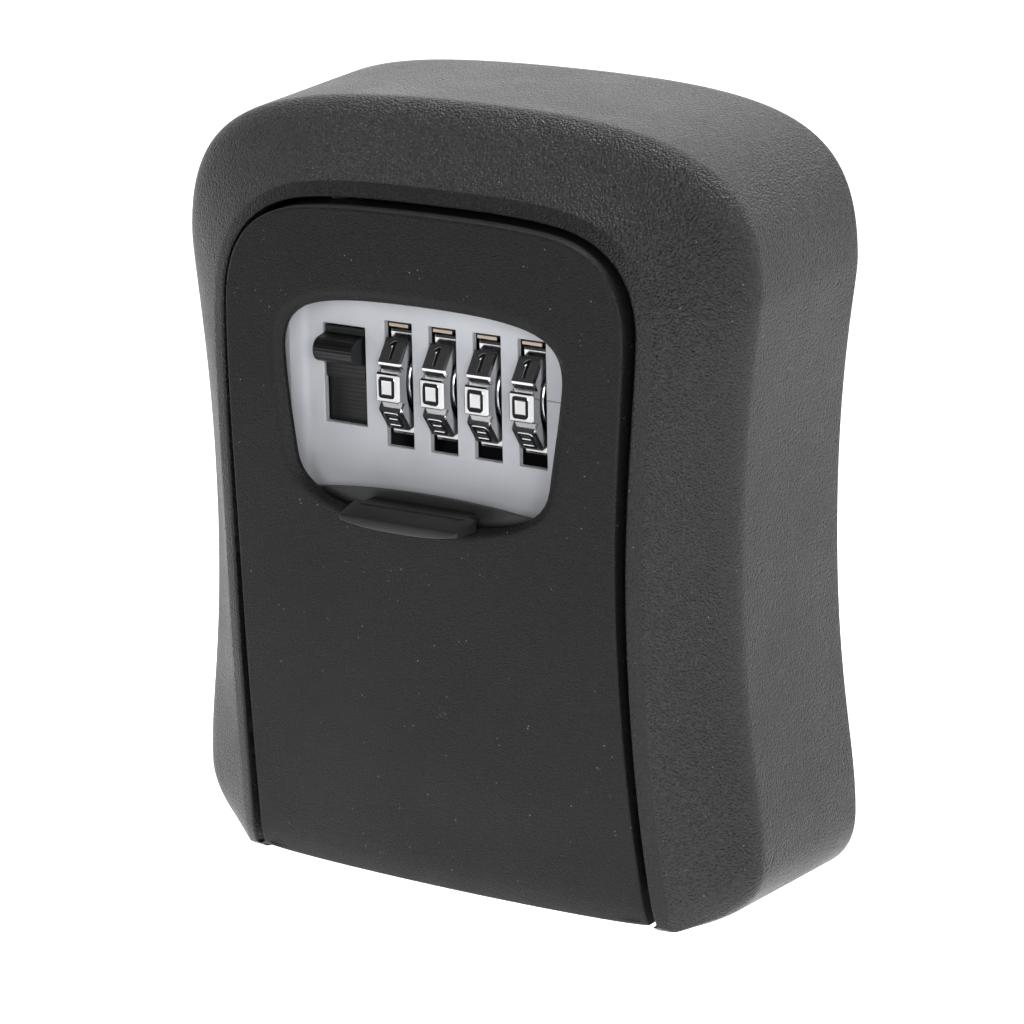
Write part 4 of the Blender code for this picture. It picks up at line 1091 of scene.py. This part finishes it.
def build_slider(materials):
    """The slider's pad and knob, with the plate, arm and pegs behind."""
    left, right = SLIDER_LEFT, SLIDER_RIGHT
    middle = (left + right) / 2
    pad = side_prism(slider_profile(), left + GAP, right - GAP)
    plate = box(
        (left - SLIDER_SIDE, SLIDER_Y + SLIDER_FRONT, SLIDER_BOTTOM),
        (right + SLIDER_SIDE, SLIDER_Y + SLIDER_THICK, SLIDER_TOP),
    )
    arm = box(
        (middle - ARM_HALF, SLIDER_Y + ARM_FRONT, ARM_BOTTOM),
        (middle + ARM_HALF, ARM_BACK_Y, ARM_TOP),
    )
    steps = [join(plate), join(arm)]
    for z in PEG_ZS:
        steps.append(join(rod(PEG_RADIUS, (middle, PEG_START, z), (middle, PEG_END, z), sides=24)))
    mesh = combined(pad, steps)
    black = [materials["slider_plastic"]]
    piece("slider_skin", mesh, black, "opener", ("open_slider",), sharp=30)


# ---------------------------------------------------------------- CAD nodes that stay


def dress(node, material):
    """Gives a CAD node a material and small bevels along its sharp edges."""
    item = NODES[node]
    item.data.materials.clear()
    item.data.materials.append(material)
    bevel = item.modifiers.new("edge", "BEVEL")
    bevel.width = NODE_BEVEL * MM
    bevel.segments = 2
    bevel.limit_method = "ANGLE"
    bevel.angle_limit = math.radians(NODE_BEVEL_ANGLE)


def dress_nodes(materials):
    for key, nodes in KEPT.items():
        for node in nodes:
            dress(node, materials[key])
    for number in range(1, 5):
        dress(f"clutch_sleeve_{number}", materials["zinc"])
        dress(f"case_screw_{number}", materials["steel"])


# ---------------------------------------------------------------- stage


def build_floor():
    """A pale floor well below the box."""
    g = Graph("floor_paper")
    tint = g.mix(g.ramp(g.noise(6.0), ((0.3, 0.0), (0.7, 1.0))), (0.93, 0.93, 0.93), (0.95, 0.95, 0.95))
    material = g.finish(tint, 0.9)
    g.shader.inputs["Emission Color"].default_value = (1, 1, 1, 1)
    g.shader.inputs["Emission Strength"].default_value = FLOOR_GLOW
    bm = bmesh.new()
    bmesh.ops.create_grid(bm, x_segments=1, y_segments=1, size=FLOOR_SIZE / MM)
    mesh = mesh_from(bm)
    mesh.transform(Matrix.Translation((0, 0, FLOOR_Z)))
    mesh.materials.append(material)
    floor = bpy.data.objects.new("floor", mesh)
    bpy.context.scene.collection.objects.link(floor)


def add_light(name, place, target, size, watts):
    lamp = bpy.data.lights.new(name, "AREA")
    lamp.shape = "RECTANGLE"
    lamp.size, lamp.size_y = size
    lamp.energy = watts
    item = bpy.data.objects.new(name, lamp)
    item.location = place
    item.rotation_euler = (Vector(target) - Vector(place)).to_track_quat("-Z", "Y").to_euler()
    bpy.context.scene.collection.objects.link(item)


def build_sky():
    """A soft studio surround that is dark in front of the box and bright behind it."""
    world = bpy.data.worlds.new("studio")
    bpy.context.scene.world = world
    world.use_nodes = True
    tree = world.node_tree
    place = tree.nodes.new("ShaderNodeTexCoord")
    axes = tree.nodes.new("ShaderNodeSeparateXYZ")
    shift = tree.nodes.new("ShaderNodeMath")
    ramp = tree.nodes.new("ShaderNodeValToRGB")
    shift.operation = "MULTIPLY_ADD"
    shift.inputs[1].default_value = 0.5
    shift.inputs[2].default_value = 0.5
    ramp_stops(ramp, SKY)
    tree.links.new(place.outputs["Generated"], axes.inputs[0])
    tree.links.new(axes.outputs["Y"], shift.inputs[0])
    tree.links.new(shift.outputs[0], ramp.inputs["Fac"])
    tree.links.new(ramp.outputs["Color"], tree.nodes["Background"].inputs["Color"])


def set_tones():
    """Plain tones, so that the pale floor stays white and the blacks stay deep."""
    view = bpy.context.scene.view_settings
    view.view_transform = "Standard"
    view.look = "None"


def build_camera():
    yaw, pitch, roll = (math.radians(angle) for angle in (CAMERA_YAW, CAMERA_PITCH, CAMERA_ROLL))
    ahead = Vector((-math.sin(yaw) * math.cos(pitch), math.cos(yaw) * math.cos(pitch), -math.sin(pitch)))
    side = Vector((math.cos(yaw), math.sin(yaw), 0))
    up = side.cross(ahead)
    right = side * math.cos(roll) + up * math.sin(roll)
    top = up * math.cos(roll) - side * math.sin(roll)
    lens = bpy.data.cameras.new("camera")
    lens.sensor_width = SENSOR_WIDTH
    lens.lens = FOCAL_LENGTH
    lens.clip_start = 0.01
    camera = bpy.data.objects.new("camera", lens)
    bpy.context.scene.collection.objects.link(camera)
    turn = Matrix((right, top, -ahead)).transposed().to_4x4()
    camera.matrix_world = Matrix.Translation(CAMERA_PLACE) @ turn
    bpy.context.scene.camera = camera


set_tones()
build_camera()
looks = {**make_coats(), **make_plastics(), **make_metals()}
build_shell(looks)
build_door(looks)
build_shutter(looks)
build_plate(looks)
build_dials(looks)
build_slider(looks)
dress_nodes(looks)
build_floor()
for light in LIGHTS:
    add_light(*light)
build_sky()
